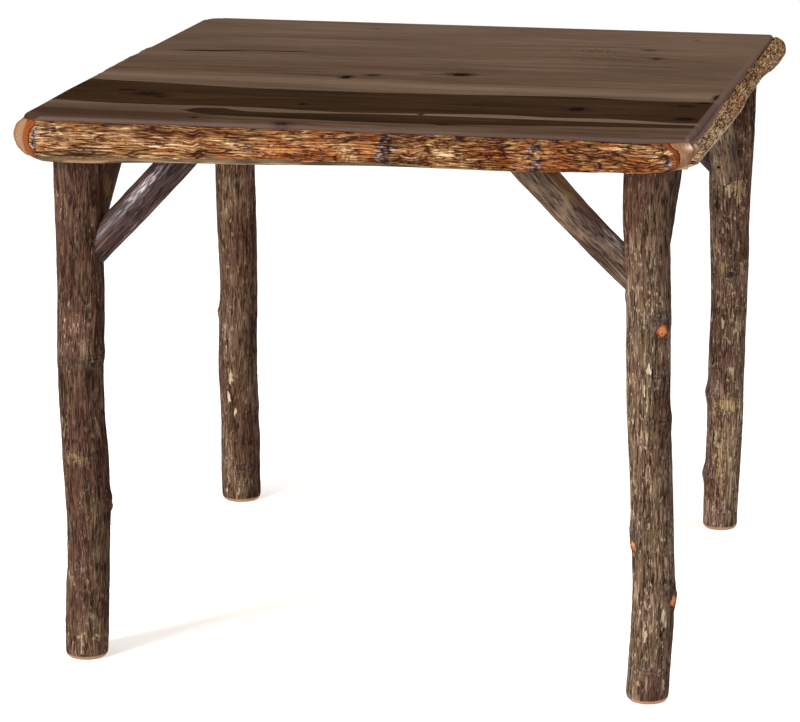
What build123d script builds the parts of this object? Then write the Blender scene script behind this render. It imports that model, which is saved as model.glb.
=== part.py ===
from build123d import *
import math
import os

# Rustic hickory table: an edge-glued plank top trimmed with half-log edge rails,
# carried by an under-frame, four natural log legs and eight diagonal log braces.
# Millimetres, +Z up.  +X runs along the planks, -Y is the front.
# Origin: centre of the footprint, on the floor.

# ---------------------------------------------------------------- driving sizes
HEIGHT = 762.0            # floor to table top (30 in)
HALF = 443.0              # half the plank panel, same in X and Y
PLANK_T = 22.0            # plank thickness
TOP_ROUND = 9.5           # rounding of the panel's upper edge
SEAMS_Y = [-346.0, -130.0, 95.0, 290.0]      # glue lines between the planks

FRAME_T = 19.0            # under-frame board thickness
FRAME_W = 110.0           # under-frame board width
FRAME_HALF = 440.0        # half the under-frame, 3 mm inside the panel edge
HEEL = 24.0               # how far the mitre of the front left corner runs on under the panel
BATTEN_W = 90.0           # centre batten width

OUT_X = 464.0             # widest reach of the edge rails in X
OUT_Y = 460.0             # and in Y

BRACE_RISE = 169.0        # leg axis crossing to the frame's underside
BRACE_REACH = 163.0       # the same, measured sideways
TENON_R = 17.0            # leg tenon radius
FOOT_CHAMFER = 4.0        # bare chamfer round each foot

Z_PANEL = HEIGHT - PLANK_T            # underside of the planks
Z_FRAME = Z_PANEL - FRAME_T           # underside of the under-frame, leg shoulder
Z_LAP = Z_PANEL - FRAME_T / 2         # half-lap height

# Leg centre lines and radii: (z, x, y, radius)
LEGS = {
    "leg_front_left": [
        (0, -386.2, -386.6, 28.4), (60, -384.0, -387.2, 28.8), (130, -379.8, -388.4, 28.3),
        (200, -377.6, -389.6, 29.1), (270, -379.0, -390.8, 30.6), (340, -381.8, -391.6, 30.3),
        (410, -382.8, -392.0, 30.2), (490, -379.8, -392.0, 30.8), (570, -379.1, -391.6, 31.0),
        (650, -379.2, -391.2, 32.0), (Z_FRAME, -379.0, -391.0, 32.0)],
    "leg_front_right": [
        (0, 393.6, -397.1, 27.2), (60, 396.6, -396.6, 27.6), (140, 399.3, -395.4, 27.4),
        (210, 397.4, -394.0, 27.3), (290, 394.3, -392.6, 27.4), (360, 390.8, -391.6, 27.7),
        (430, 387.6, -391.0, 27.9), (500, 386.8, -390.8, 28.4), (570, 385.2, -390.8, 28.4),
        (640, 382.4, -391.0, 29.2), (Z_FRAME, 382.6, -391.0, 29.7)],
    "leg_back_left": [
        (0, -381.8, 389.0, 29.6), (60, -382.8, 388.0, 30.3), (130, -382.4, 387.4, 29.5),
        (200, -384.0, 387.6, 30.1), (270, -383.8, 388.6, 29.7), (350, -381.8, 389.8, 29.0),
        (420, -382.8, 390.6, 29.8), (500, -384.7, 391.2, 30.2), (570, -385.0, 391.4, 30.7),
        (650, -384.0, 391.2, 30.4), (Z_FRAME, -383.4, 391.0, 30.2)],
    "leg_back_right": [
        (0, 384.2, 396.1, 25.7), (60, 385.2, 396.6, 26.0), (130, 387.4, 396.2, 26.6),
        (200, 388.4, 395.0, 26.8), (270, 389.4, 393.8, 26.8), (350, 390.9, 392.6, 26.7),
        (420, 391.1, 391.8, 28.1), (500, 389.7, 391.2, 29.7), (570, 390.3, 391.0, 31.6),
        (650, 392.6, 391.0, 31.9), (Z_FRAME, 392.8, 391.0, 31.7)],
}

# Braces: (leg, axis it runs along, direction, radius at the leg, radius at the frame, sideways bow,
# sideways shift at the leg and at the frame, lift square to its axis at the leg and at the frame)
BRACES = {
    "brace_front_left_x": ("leg_front_left", "x", 1, 22.2, 21.8, 1.5, 4.0, 4.0, 2.0, 3.4),
    "brace_front_left_y": ("leg_front_left", "y", 1, 20.4, 24.0, -1.5, -1.0, 2.0, 0.0, 0.0),
    "brace_front_right_x": ("leg_front_right", "x", -1, 20.6, 23.2, -1.0, 8.0, 8.0, -0.7, -4.6),
    "brace_front_right_y": ("leg_front_right", "y", 1, 19.4, 22.4, 1.8, -2.0, 1.5, 0.0, 0.0),
    "brace_back_left_x": ("leg_back_left", "x", 1, 21.2, 20.6, -1.6, 0.0, 0.0, 0.0, 0.0),
    "brace_back_left_y": ("leg_back_left", "y", -1, 20.4, 21.6, 1.2, 0.0, 1.5, 0.0, 0.0),
    "brace_back_right_x": ("leg_back_right", "x", -1, 20.8, 21.8, 1.4, 0.0, 0.0, 2.0, 2.0),
    "brace_back_right_y": ("leg_back_right", "y", -1, 20.2, 21.4, -1.2, -5.0, -5.0, -7.0, -6.0),
}
NAIL_SIDE = {"brace_back_right_y": -6.0}     # this brace's nail into the leg stands off its centre line

# Edge rails, one half log per side: (position along the rail, lower edge z, upper edge z, bulge)
RAILS = {
    "edge_rail_front": [
        (-480, 709.0, 752.5, 14.0), (-440, 702.0, 753.0, 14.8), (-395, 698.6, 753.0, 16.4),
        (-275, 702.2, 753.0, 16.8), (-116, 705.8, 753.5, 16.0), (50, 710.4, 753.8, 15.8),
        (200, 710.2, 753.5, 16.2), (340, 712.8, 753.0, 15.6), (410, 716.6, 753.4, 15.2),
        (445, 720.0, 757.0, 15.0), (480, 721.5, 758.5, 15.0)],
    "edge_rail_right": [
        (-480, 721.5, 758.5, 15.0), (-445, 721.8, 757.0, 15.0), (-400, 723.0, 754.0, 15.0),
        (-230, 718.6, 754.0, 15.4), (-80, 717.0, 754.0, 15.8), (50, 718.6, 754.0, 15.6),
        (180, 725.0, 754.0, 16.6), (310, 726.4, 754.0, 19.4), (400, 725.6, 754.6, 21.0),
        (440, 725.0, 755.5, 20.6), (480, 725.5, 756.0, 19.6)],
    "edge_rail_back": [
        (-480, 718.0, 751.5, 15.6), (-430, 715.0, 753.0, 16.4), (-290, 712.5, 753.5, 17.0),
        (-120, 710.5, 753.5, 16.4), (60, 713.0, 753.5, 15.8), (220, 716.5, 753.5, 15.4),
        (350, 720.5, 753.5, 16.2), (440, 724.0, 755.0, 15.8), (480, 725.0, 756.0, 15.0)],
    "edge_rail_left": [
        (-480, 709.0, 752.5, 15.4), (-440, 703.0, 753.0, 16.2), (-380, 703.5, 753.0, 16.2),
        (-240, 708.0, 753.5, 17.6), (-80, 711.0, 755.0, 20.6), (50, 712.0, 757.0, 21.0),
        (160, 713.5, 755.5, 19.8), (310, 714.5, 753.5, 16.6), (430, 716.5, 753.0, 15.4),
        (480, 718.0, 751.5, 14.8)],
}

# Rounded corners worked across the panel and the rails together.
# For each corner: centre of the rounding and its (z, radius) profile, bottom to top.
CORNERS = {
    "front_left": ((-300.0, -300.0), [(692, 166.9), (700, 181.3), (705, 187.0), (712, 191.8), (719, 194.5),
                                      (727, 195.6), (734, 194.8), (741, 192.4), (747, 189.8), (752, 187.2),
                                      (756, 183.4), (759, 179.4), (762, 173.8)]),
    "front_right": ((300.0, -300.0), [(712, 172.0), (718, 184.0), (722, 191.0), (726, 199.0), (732, 204.4),
                                      (738, 207.6), (744, 210.4), (749, 212.6), (755, 214.2), (760, 214.0),
                                      (764, 211.0)]),
    "back_right": ((430.0, 428.0), [(712, 16.0), (718, 25.0), (724, 31.0), (731, 34.5), (739, 35.0),
                                    (745, 34.2), (750, 32.0), (755, 27.4), (759.5, 19.0), (762.0, 12.0)]),
    "back_left": ((-413.0, 413.0), [(704, 26.0), (711, 36.0), (718, 42.0), (728, 46.0), (738, 46.0),
                                    (746, 43.8), (752, 38.2), (757, 31.0), (760.5, 24.0), (762.0, 19.0)]),
}

# Fasteners
SCREW_HEAD_R, SCREW_R, SCREW_L = 4.3, 2.1, 34.0      # countersunk wood screws, frame to planks
NAIL_HEAD_R, NAIL_R = 2.4, 1.4                        # finish nails
RAIL_NAIL_L, BRACE_NAIL_L = 46.0, 52.0
FIT = 0.05                                            # clearance round a shank

SIDE_SCREWS_Y = [-300.0, -186.0, -84.0, 48.0, 138.0, 246.0]
END_SCREWS_X = [-300.0, -62.0, 62.0, 300.0]
BATTEN_SCREWS = [(-26.0, -286.0), (26.0, -190.0), (-26.0, -88.0), (26.0, 52.0), (-26.0, 134.0), (26.0, 252.0)]
RAIL_NAILS = [-372.0, -226.0, -78.0, 70.0, 214.0, 366.0]
RAIL_NAIL_Z = 746.5

os.makedirs("parts", exist_ok=True)


# ---------------------------------------------------------------- helpers
def block(x0, x1, y0, y1, z0, z1):
    return Pos((x0 + x1) / 2, (y0 + y1) / 2, (z0 + z1) / 2) * Box(x1 - x0, y1 - y0, z1 - z0)


def disc(centre, normal, radius):
    return Plane(origin=centre, z_dir=normal) * Circle(radius)


def lathe(points):
    """Solid of revolution about Z from (radius, z) points that start and end on the axis."""
    profile = make_face(Polyline(*[(r, 0, z) for r, z in points], close=True))
    return revolve(profile, Axis.Z)


def aim(solid, tip, direction):
    """Put a solid drawn along +Z from the origin at a point, along a direction."""
    return Plane(origin=tip, z_dir=direction) * solid


def as_one(shape):
    """The single solid of a shape, dropping slivers that a cut can leave."""
    solids = sorted(shape.solids(), key=lambda s: s.volume)
    return solids[-1]


def leg_at(name, z):
    """Centre line of a leg at a height."""
    rows = LEGS[name]
    for a, b in zip(rows, rows[1:]):
        if a[0] <= z <= b[0]:
            t = (z - a[0]) / (b[0] - a[0])
            return (a[1] + t * (b[1] - a[1]), a[2] + t * (b[2] - a[2]))
    return rows[-1][1:3]


# ---------------------------------------------------------------- fasteners
def wood_screw(grow=0.0, recess=True):
    """Countersunk screw: head at the origin, shank along +Z."""
    body = lathe([(0, 0), (SCREW_HEAD_R + grow, 0), (SCREW_HEAD_R + grow, 0.4),
                  (SCREW_R + grow, 3.2), (SCREW_R + grow, SCREW_L - 6), (0, SCREW_L + grow)])
    if recess:
        arm = lathe([(0, 0), (2.2, 0), (0, 2.4)])
        cross = (Box(4.4, 0.9, 5) + Box(0.9, 4.4, 5)) & arm
        body = body - cross
    return body


def nail(length, grow=0.0):
    """Finish nail: head at the origin, shank along +Z."""
    return lathe([(0, 0), (NAIL_HEAD_R + grow, 0), (NAIL_HEAD_R + grow, 1.4), (NAIL_R + grow, 2.6),
                  (NAIL_R + grow, length - 5), (0, length + grow)])


screw, screw_hole = wood_screw(), wood_screw(FIT, recess=False)
screw_spots = []
for y in SIDE_SCREWS_Y:
    screw_spots += [(-352.0, y), (352.0, y)]
for x in END_SCREWS_X:
    screw_spots += [(x, -400.0), (x, 400.0)]
screw_spots += BATTEN_SCREWS
frame_screws = [Pos(x, y, Z_FRAME) * screw for x, y in screw_spots]
screw_holes = [Pos(x, y, Z_FRAME) * screw_hole for x, y in screw_spots]

# ---------------------------------------------------------------- corner rounding
corner_cuts = []
for (cx, cy), profile in CORNERS.values():
    sx, sy = (1 if cx > 0 else -1), (1 if cy > 0 else -1)
    edge = Spline(*[(r, 0, z) for z, r in profile])
    z0, z1 = profile[0][0], profile[-1][0]
    r0, r1 = profile[0][1], profile[-1][1]
    outline = edge + Line((r1, 0, z1), (r1, 0, z1 + 8)) + Line((r1, 0, z1 + 8), (0, 0, z1 + 8)) \
        + Line((0, 0, z1 + 8), (0, 0, z0 - 10)) + Line((0, 0, z0 - 10), (r0, 0, z0 - 10)) \
        + Line((r0, 0, z0 - 10), (r0, 0, z0))
    knob = Pos(cx, cy, 0) * revolve(make_face(outline), Axis.Z)
    xa, xb = sorted((cx, sx * 540.0))
    ya, yb = sorted((cy, sy * 540.0))
    corner_cuts.append(block(xa, xb, ya, yb, z0 - 6, max(z1, HEIGHT) + 4) - knob)

# ---------------------------------------------------------------- plank top
panel = block(-HALF, HALF, -HALF, HALF, Z_PANEL, HEIGHT)
panel = fillet(panel.faces().sort_by(Axis.Z)[-1].edges(), TOP_ROUND)
for cut in corner_cuts:
    panel = panel - cut
planks = {}
lines = [-HALF - 5] + SEAMS_Y + [HALF + 5]
for i, (a, b) in enumerate(zip(lines, lines[1:])):
    piece = panel & block(-500, 500, a, b, 700, 800)
    for (x, y), hole in zip(screw_spots, screw_holes):
        if a < y < b:
            piece = piece - hole
    planks["top_plank_%d" % (i + 1)] = piece

# ---------------------------------------------------------------- edge rails
rail_nail, rail_nail_hole = nail(RAIL_NAIL_L), nail(RAIL_NAIL_L, FIT)
head_pit = Pos(0, 0, -15) * Cylinder(NAIL_HEAD_R + FIT, 30)
FAR = 120.0
SIDES = {  # outward direction, and the wedge between the two mitre lines
    "edge_rail_front": ((0, -1), [(-HALF + 200, -HALF + 200), (HALF - 200, -HALF + 200), (HALF + FAR, -HALF - FAR), (-HALF - FAR, -HALF - FAR)]),
    "edge_rail_back": ((0, 1), [(-HALF + 200, HALF - 200), (HALF - 200, HALF - 200), (HALF + FAR, HALF + FAR), (-HALF - FAR, HALF + FAR)]),
    "edge_rail_left": ((-1, 0), [(-HALF + 200, -HALF + 200), (-HALF + 200, HALF - 200), (-HALF - FAR, HALF + FAR), (-HALF - FAR, -HALF - FAR)]),
    "edge_rail_right": ((1, 0), [(HALF - 200, -HALF + 200), (HALF - 200, HALF - 200), (HALF + FAR, HALF + FAR), (HALF + FAR, -HALF - FAR)]),
}
# At the front left corner the rounding is cut deeper than the panel's own corner. There the two
# half-logs run on under the panel, so that the mitre closes behind the cut.
heel = block(-HALF, -HALF + HEEL, -HALF, -HALF + HEEL, 680, Z_PANEL)
core = block(-HALF, HALF, -HALF, HALF, 680, 790) - heel
rails, rail_nails, rail_nail_holes = {}, [], []
for name, rows in RAILS.items():
    (ox, oy), wedge = SIDES[name]
    sections = []
    for t, zb, zt, s in rows:
        chord = zt - zb
        radius = (chord * chord / 4 + s * s) / (2 * s)
        off = HALF + s - radius
        centre = (t, oy * off, (zt + zb) / 2) if oy else (ox * off, t, (zt + zb) / 2)
        sections.append(disc(centre, (1, 0, 0) if oy else (0, 1, 0), radius))
    log = loft(sections)
    keep = extrude(Pos(0, 0, 690) * make_face(Polyline(*[(x, y, 0) for x, y in wedge], close=True)), 80)
    rail = (log & keep) - core
    for cut in corner_cuts:
        rail = rail - cut
    for t in RAIL_NAILS:
        reach = HALF + 10.5
        head = (t, oy * reach, RAIL_NAIL_Z) if oy else (ox * reach, t, RAIL_NAIL_Z)
        inward = (0, -oy, 0) if oy else (-ox, 0, 0)
        rail_nails.append(aim(rail_nail, head, inward))
        hole = aim(rail_nail_hole, head, inward)
        rail_nail_holes.append(hole)
        rail = rail - hole - aim(head_pit, head, inward)
    rails[name] = as_one(rail)
for name in planks:
    piece = planks[name]
    box = piece.bounding_box()
    for hole in rail_nail_holes:
        hb = hole.bounding_box()
        if hb.min.Y < box.max.Y and hb.max.Y > box.min.Y:
            piece = piece - hole
    planks[name] = as_one(piece)

# ---------------------------------------------------------------- legs
wedge_flat = make_face(Polyline((-1.7, 0, Z_PANEL), (1.7, 0, Z_PANEL), (0.5, 0, Z_FRAME + 3), (-0.5, 0, Z_FRAME + 3), close=True))
legs, tenon_holes, tenon_wedges = {}, [], []
for name, rows in LEGS.items():
    z0, x0, y0, r0 = rows[0]
    foot_top = (FOOT_CHAMFER, x0 + (rows[1][1] - x0) * FOOT_CHAMFER / rows[1][0],
                y0 + (rows[1][2] - y0) * FOOT_CHAMFER / rows[1][0], r0)
    foot = loft([disc((foot_top[1], foot_top[2], 0), (0, 0, 1), r0 - FOOT_CHAMFER),
                 disc((foot_top[1], foot_top[2], FOOT_CHAMFER), (0, 0, 1), r0)])
    trunk = loft([disc((x, y, z), (0, 0, 1), r) for z, x, y, r in [foot_top] + rows[1:]])
    zt, xt, yt, rt = rows[-1]
    tenon = Pos(xt, yt, (Z_FRAME + Z_PANEL) / 2) * Cylinder(TENON_R - FIT, FRAME_T)
    slot = Pos(xt, yt + 30, 0) * extrude(wedge_flat, 60, dir=(0, -1, 0))
    legs[name] = as_one((foot + trunk + tenon) - slot)
    tenon_wedges.append(as_one(slot & (Pos(xt, yt, (Z_FRAME + Z_PANEL) / 2) * Cylinder(TENON_R - 0.5, FRAME_T + 10))))
    tenon_holes.append(Pos(xt, yt, (Z_FRAME + Z_PANEL) / 2) * Cylinder(TENON_R, FRAME_T + 4))

# ---------------------------------------------------------------- under-frame
IN = FRAME_HALF - FRAME_W
frame = {
    "frame_front": block(-FRAME_HALF, FRAME_HALF, -FRAME_HALF, -IN, Z_FRAME, Z_PANEL),
    "frame_back": block(-FRAME_HALF, FRAME_HALF, IN, FRAME_HALF, Z_FRAME, Z_PANEL),
    "frame_left": block(-FRAME_HALF, -IN, -FRAME_HALF, FRAME_HALF, Z_FRAME, Z_PANEL),
    "frame_right": block(IN, FRAME_HALF, -FRAME_HALF, FRAME_HALF, Z_FRAME, Z_PANEL),
    "centre_batten": block(-BATTEN_W / 2, BATTEN_W / 2, -IN, IN, Z_FRAME, Z_PANEL),
}
for name in ("frame_front", "frame_back"):        # lower half runs through at the corners
    for sx in (-1, 1):
        xa, xb = sorted((sx * IN, sx * (FRAME_HALF + 5)))
        frame[name] = frame[name] - block(xa, xb, -500, 500, Z_LAP, Z_PANEL + 5)
for name in ("frame_left", "frame_right"):        # upper half runs through at the corners
    for sy in (-1, 1):
        ya, yb = sorted((sy * IN, sy * (FRAME_HALF + 5)))
        frame[name] = frame[name] - block(-500, 500, ya, yb, Z_FRAME - 5, Z_LAP)
for name in ("frame_front", "frame_left"):         # notched round the heel of the front left mitre
    frame[name] = frame[name] - block(-HALF - 5, -HALF + HEEL, -HALF - 5, -HALF + HEEL, Z_FRAME - 5, Z_PANEL + 5)

# ---------------------------------------------------------------- braces
brace_nail, brace_nail_hole = nail(BRACE_NAIL_L), nail(BRACE_NAIL_L, FIT)
braces, brace_nails, brace_nail_holes = {}, [], []
for name, (leg, along, sign, r_low, r_high, bow, side_low, side_high, lift_low, lift_high) in BRACES.items():
    z_low = Z_FRAME - BRACE_RISE
    lx, ly = leg_at(leg, z_low + 30)
    ux, uy = (sign, 0) if along == "x" else (0, sign)
    rise = math.hypot(BRACE_RISE, BRACE_REACH)
    d_unit, z_unit = BRACE_REACH / rise, BRACE_RISE / rise
    sections = []
    for i, k in enumerate((-0.06, 0.22, 0.5, 0.78, 1.2)):
        swell = math.sin(math.pi * min(max(k, 0), 1))
        lift = lift_low + (lift_high - lift_low) * k - 2.2 * swell
        d = BRACE_REACH * k - z_unit * lift
        z = z_low + BRACE_RISE * k + d_unit * lift
        side = bow * swell + side_low + (side_high - side_low) * k
        centre = (lx + ux * d + (0 if ux else side), ly + uy * d + (0 if uy else side), z)
        radius = r_low + (r_high - r_low) * k - 0.5 * swell
        sections.append(disc(centre, (ux * d_unit, uy * d_unit, z_unit), radius))
    log = loft(sections) - block(-500, 500, -500, 500, Z_FRAME, Z_FRAME + 120)
    if ux:                                # nothing of it passes the middle of the leg
        far = block(*sorted((lx + ux * 10, lx - ux * 200)), -500, 500, 400, 760)
    else:
        far = block(-500, 500, *sorted((ly + uy * 10, ly - uy * 200)), 400, 760)
    brace = log - legs[leg] - far
    if along == "y":                      # scribed over its neighbour where the two just meet
        brace = brace - braces[name[:-1] + "x"]
    # one nail goes level into the leg, one straight up into the under-frame
    low_z = z_low + (27 if along == "x" else 35) + lift_low / d_unit
    low_d = (27 if along == "x" else 35) * BRACE_REACH / BRACE_RISE + 23.0
    high_d = BRACE_REACH - 14.0 - lift_high / z_unit
    high_z = Z_FRAME + 13.0 - BRACE_NAIL_L
    low_side = side_low + NAIL_SIDE.get(name, 0.0)
    spots = [((lx + ux * low_d + abs(uy) * low_side, ly + uy * low_d + abs(ux) * low_side, low_z), (-ux, -uy, 0)),
             ((lx + ux * high_d + abs(uy) * side_high, ly + uy * high_d + abs(ux) * side_high, high_z), (0, 0, 1))]
    for tip, direction in spots:
        brace_nails.append(aim(brace_nail, tip, direction))
        hole = aim(brace_nail_hole, tip, direction)
        brace_nail_holes.append(hole)
        brace = brace - hole - aim(head_pit, tip, direction)
        if direction[2] == 0:
            legs[leg] = legs[leg] - hole
    braces[name] = as_one(brace)
for name in legs:
    legs[name] = as_one(legs[name])

for name in frame:
    piece = frame[name]
    box = piece.bounding_box()
    for hole in tenon_holes + screw_holes + brace_nail_holes:
        hb = hole.bounding_box()
        if (hb.max.Z > Z_FRAME and hb.min.X < box.max.X and hb.max.X > box.min.X
                and hb.min.Y < box.max.Y and hb.max.Y > box.min.Y):
            piece = piece - hole
    frame[name] = as_one(piece)

# ---------------------------------------------------------------- write the pieces
nodes = {}
nodes.update(planks)
nodes.update(rails)
nodes.update(frame)
nodes.update(legs)
nodes.update(braces)
nodes["tenon_wedges"] = Compound(children=tenon_wedges)
nodes["frame_screws"] = Compound(children=frame_screws)
nodes["rail_nails"] = Compound(children=rail_nails)
nodes["brace_nails"] = Compound(children=brace_nails)
for name, shape in nodes.items():
    shape.label = name
    export_step(shape, "parts/%s.step" % name)
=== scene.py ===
import math

import bpy
import numpy as np
from mathutils import Matrix, Vector


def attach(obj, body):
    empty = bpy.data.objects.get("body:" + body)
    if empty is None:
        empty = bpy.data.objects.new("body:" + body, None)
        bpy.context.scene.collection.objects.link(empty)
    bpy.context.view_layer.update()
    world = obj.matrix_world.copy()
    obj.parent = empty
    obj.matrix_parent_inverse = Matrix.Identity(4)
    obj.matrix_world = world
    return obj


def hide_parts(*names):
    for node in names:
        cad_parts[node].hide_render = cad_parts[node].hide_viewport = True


# Rustic hickory table, visual model.  Shapes are worked out in millimetres in the CAD
# frame (+X along the planks, -Y the front, +Z up) and written to meshes in metres.

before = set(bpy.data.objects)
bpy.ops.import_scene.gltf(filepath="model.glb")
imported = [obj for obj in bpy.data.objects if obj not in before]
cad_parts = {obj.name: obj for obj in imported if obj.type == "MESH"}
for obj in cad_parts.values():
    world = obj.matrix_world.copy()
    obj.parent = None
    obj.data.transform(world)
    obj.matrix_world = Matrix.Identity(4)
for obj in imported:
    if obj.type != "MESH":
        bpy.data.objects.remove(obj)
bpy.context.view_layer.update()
TAU = 2 * math.pi


# ================================================================ small maths helpers
def smooth(a, b, x):
    t = np.clip((x - a) / (b - a), 0.0, 1.0)
    return t * t * (3 - 2 * t)


def gauss(x):
    return np.exp(-x * x)


def spline(xs, ys, x):
    """Natural cubic spline through the points, read at x."""
    xs, ys = np.asarray(xs, float), np.asarray(ys, float)
    n, h = len(xs), np.diff(xs)
    a, b = np.eye(n), np.zeros(n)
    for i in range(1, n - 1):
        a[i, i - 1:i + 2] = h[i - 1], 2 * (h[i - 1] + h[i]), h[i]
        b[i] = 6 * ((ys[i + 1] - ys[i]) / h[i] - (ys[i] - ys[i - 1]) / h[i - 1])
    m = np.linalg.solve(a, b)
    x = np.clip(np.asarray(x, float), xs[0], xs[-1])
    i = np.clip(np.searchsorted(xs, x) - 1, 0, n - 2)
    t, s, w = x - xs[i], xs[i + 1] - x, h[i]
    return (m[i] * s ** 3 + m[i + 1] * t ** 3) / (6 * w) \
        + (ys[i] / w - m[i] * w / 6) * s + (ys[i + 1] / w - m[i + 1] * w / 6) * t


def gnoise(u, v, seed, period=0):
    """Seeded 2-D gradient noise, about -1 to 1; it repeats every `period` cells of u."""
    rng = np.random.default_rng(seed)
    nu, nv = period or 128, 256
    ang = rng.random((nu, nv)) * TAU
    gx, gy = np.cos(ang), np.sin(ang)
    iu, iv = np.floor(u).astype(np.int64), np.floor(v).astype(np.int64)
    fu, fv = u - iu, v - iv

    def corner(di, dj):
        p, q = (iu + di) % nu, (iv + dj) % nv
        return gx[p, q] * (fu - di) + gy[p, q] * (fv - dj)

    su = fu * fu * fu * (fu * (fu * 6 - 15) + 10)
    sv = fv * fv * fv * (fv * (fv * 6 - 15) + 10)
    lo = corner(0, 0) * (1 - su) + corner(1, 0) * su
    hi = corner(0, 1) * (1 - su) + corner(1, 1) * su
    return 1.5 * (lo * (1 - sv) + hi * sv)


def field(c, s, girth, width, length, seed):
    """Noise with cells of width x length mm. c runs round the log (closed if girth is given), s along it."""
    if girth:
        n = max(2, int(round(girth / width)))
        return gnoise(c * (n / girth), s / length + 7.3, seed, n)
    return gnoise(c / width + 11.7, s / length + 7.3, seed)


def cells(u, v, seed, period=0):
    """Jittered cells of unit size: nearness to the seam with the next cell, a value per cell, place across the cell."""
    rng = np.random.default_rng(seed)
    nu, nv = period or 256, 512
    ju, jv, own = rng.random((nu, nv)), rng.random((nu, nv)), rng.random((nu, nv))
    iu, iv = np.floor(u).astype(np.int64), np.floor(v).astype(np.int64)
    best = np.full(u.shape, 9.0)
    second = np.full(u.shape, 9.0)
    value = np.zeros(u.shape)
    place_across = np.zeros(u.shape)
    for di in (-1, 0, 1):
        for dj in (-1, 0, 1):
            p, q = (iu + di) % nu, (iv + dj) % nv
            du = iu + di + 0.12 + 0.76 * ju[p, q] - u
            dv = iv + dj + 0.05 + 0.90 * jv[p, q] - v
            d = np.sqrt(du * du + dv * dv)
            nearer = d < best
            second = np.where(nearer, best, np.minimum(second, d))
            value = np.where(nearer, own[p, q], value)
            place_across = np.where(nearer, -du, place_across)
            best = np.where(nearer, d, best)
    return second - best, value, place_across


def bark(c, s, girth, width, length, seed, warp=0.5, fork=0.55):
    """Tight bark of long narrow plates: height about 0 in a crevice to 1 on a plate, how deep in a crevice or in the
    fine strands that split a plate, a value per plate, and the place across the plate."""
    w1 = field(c, s, girth, width * 6.0, length * 1.6, seed + 1) * width * 1.1 * warp
    w2 = field(c, s, girth, width * 2.4, length * 0.6, seed + 2) * width * 0.5 * warp
    cc = c + w1 + w2
    ss = s + field(c, s, girth, width * 2.0, length, seed + 5) * length * 0.35
    n = max(3, int(round(girth / width))) if girth else 0
    u = cc * (n / girth) if girth else cc / width + 40.0
    near, own, across = cells(u, ss / length + 90.0, seed + 3, n)
    n2 = field(cc, s, girth, width * 0.42, length * 0.45, seed + 4)
    n3 = field(cc, s, girth, width * 0.27, length * 0.30, seed + 6)
    opened = smooth(-0.6, 0.35, field(c, s, girth, width * 5.0, length * 2.0, seed + 7))
    f1 = (1 - smooth(0.01, 0.15, near)) * (0.45 + 0.55 * opened)
    f2 = (1 - smooth(0.0, 0.20, np.abs(n2))) * fork
    deep = np.maximum(f1, f2)
    h = 0.60 + 0.20 * smooth(0.05, 0.5, near) + 0.26 * (own - 0.5) + 0.16 * n2 + 0.16 * n3 - 0.46 * f1 - 0.26 * f2 * (1 - 0.6 * f1)
    return h, deep, own, across


def strands(c, s, girth, width, length, seed, warp=0.6):
    """Finer bark: nearly straight strands with thin furrows; height, how deep in a furrow, a slow value per strand."""
    w1 = field(c, s, girth, width * 7.0, length * 1.8, seed + 1) * width * 1.3 * warp
    w2 = field(c, s, girth, width * 2.6, length * 0.6, seed + 2) * width * 0.40 * warp
    cc = c + w1 + w2
    n1 = field(cc, s, girth, width, length, seed + 3)
    n2 = field(cc, s, girth, width * 0.52, length * 0.55, seed + 4)
    n3 = field(cc, s, girth, width * 1.8, length * 1.1, seed + 6)
    n4 = field(c, s, girth, width * 0.9, width * 1.3, seed + 8)
    opened = smooth(-0.5, 0.4, field(c, s, girth, width * 6.0, length * 1.6, seed + 7))
    f1 = (1 - smooth(0.01, 0.15, np.abs(n1))) * (0.45 + 0.55 * opened)
    h = 0.64 + 0.18 * n1 + 0.20 * n2 + 0.12 * n3 + 0.07 * n4 - 0.36 * f1
    return h, f1, n3


# ================================================================ mesh building
def build_mesh(name, verts, loops, starts, uv=None, attrs=None, flat=None):
    me = bpy.data.meshes.new(name)
    me.vertices.add(len(verts))
    me.vertices.foreach_set("co", (np.asarray(verts, float) / 1000.0).astype(np.float32).ravel())
    me.loops.add(len(loops))
    me.loops.foreach_set("vertex_index", np.asarray(loops, np.int32))
    me.polygons.add(len(starts))
    me.polygons.foreach_set("loop_start", np.asarray(starts, np.int32))
    me.update(calc_edges=True)
    me.validate()
    smooth_flags = np.ones(len(starts), bool)
    if flat is not None:
        smooth_flags[flat] = False
    me.polygons.foreach_set("use_smooth", smooth_flags)
    if uv is not None:
        layer = me.uv_layers.new(name="OFBake")
        layer.data.foreach_set("uv", np.asarray(uv, np.float32).ravel())
    for key, values in (attrs or {}).items():
        at = me.attributes.new(key, "FLOAT", "POINT")
        at.data.foreach_set("value", np.asarray(values, np.float32))
    me.update()
    ob = bpy.data.objects.new(name, me)
    bpy.context.scene.collection.objects.link(ob)
    return ob


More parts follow.
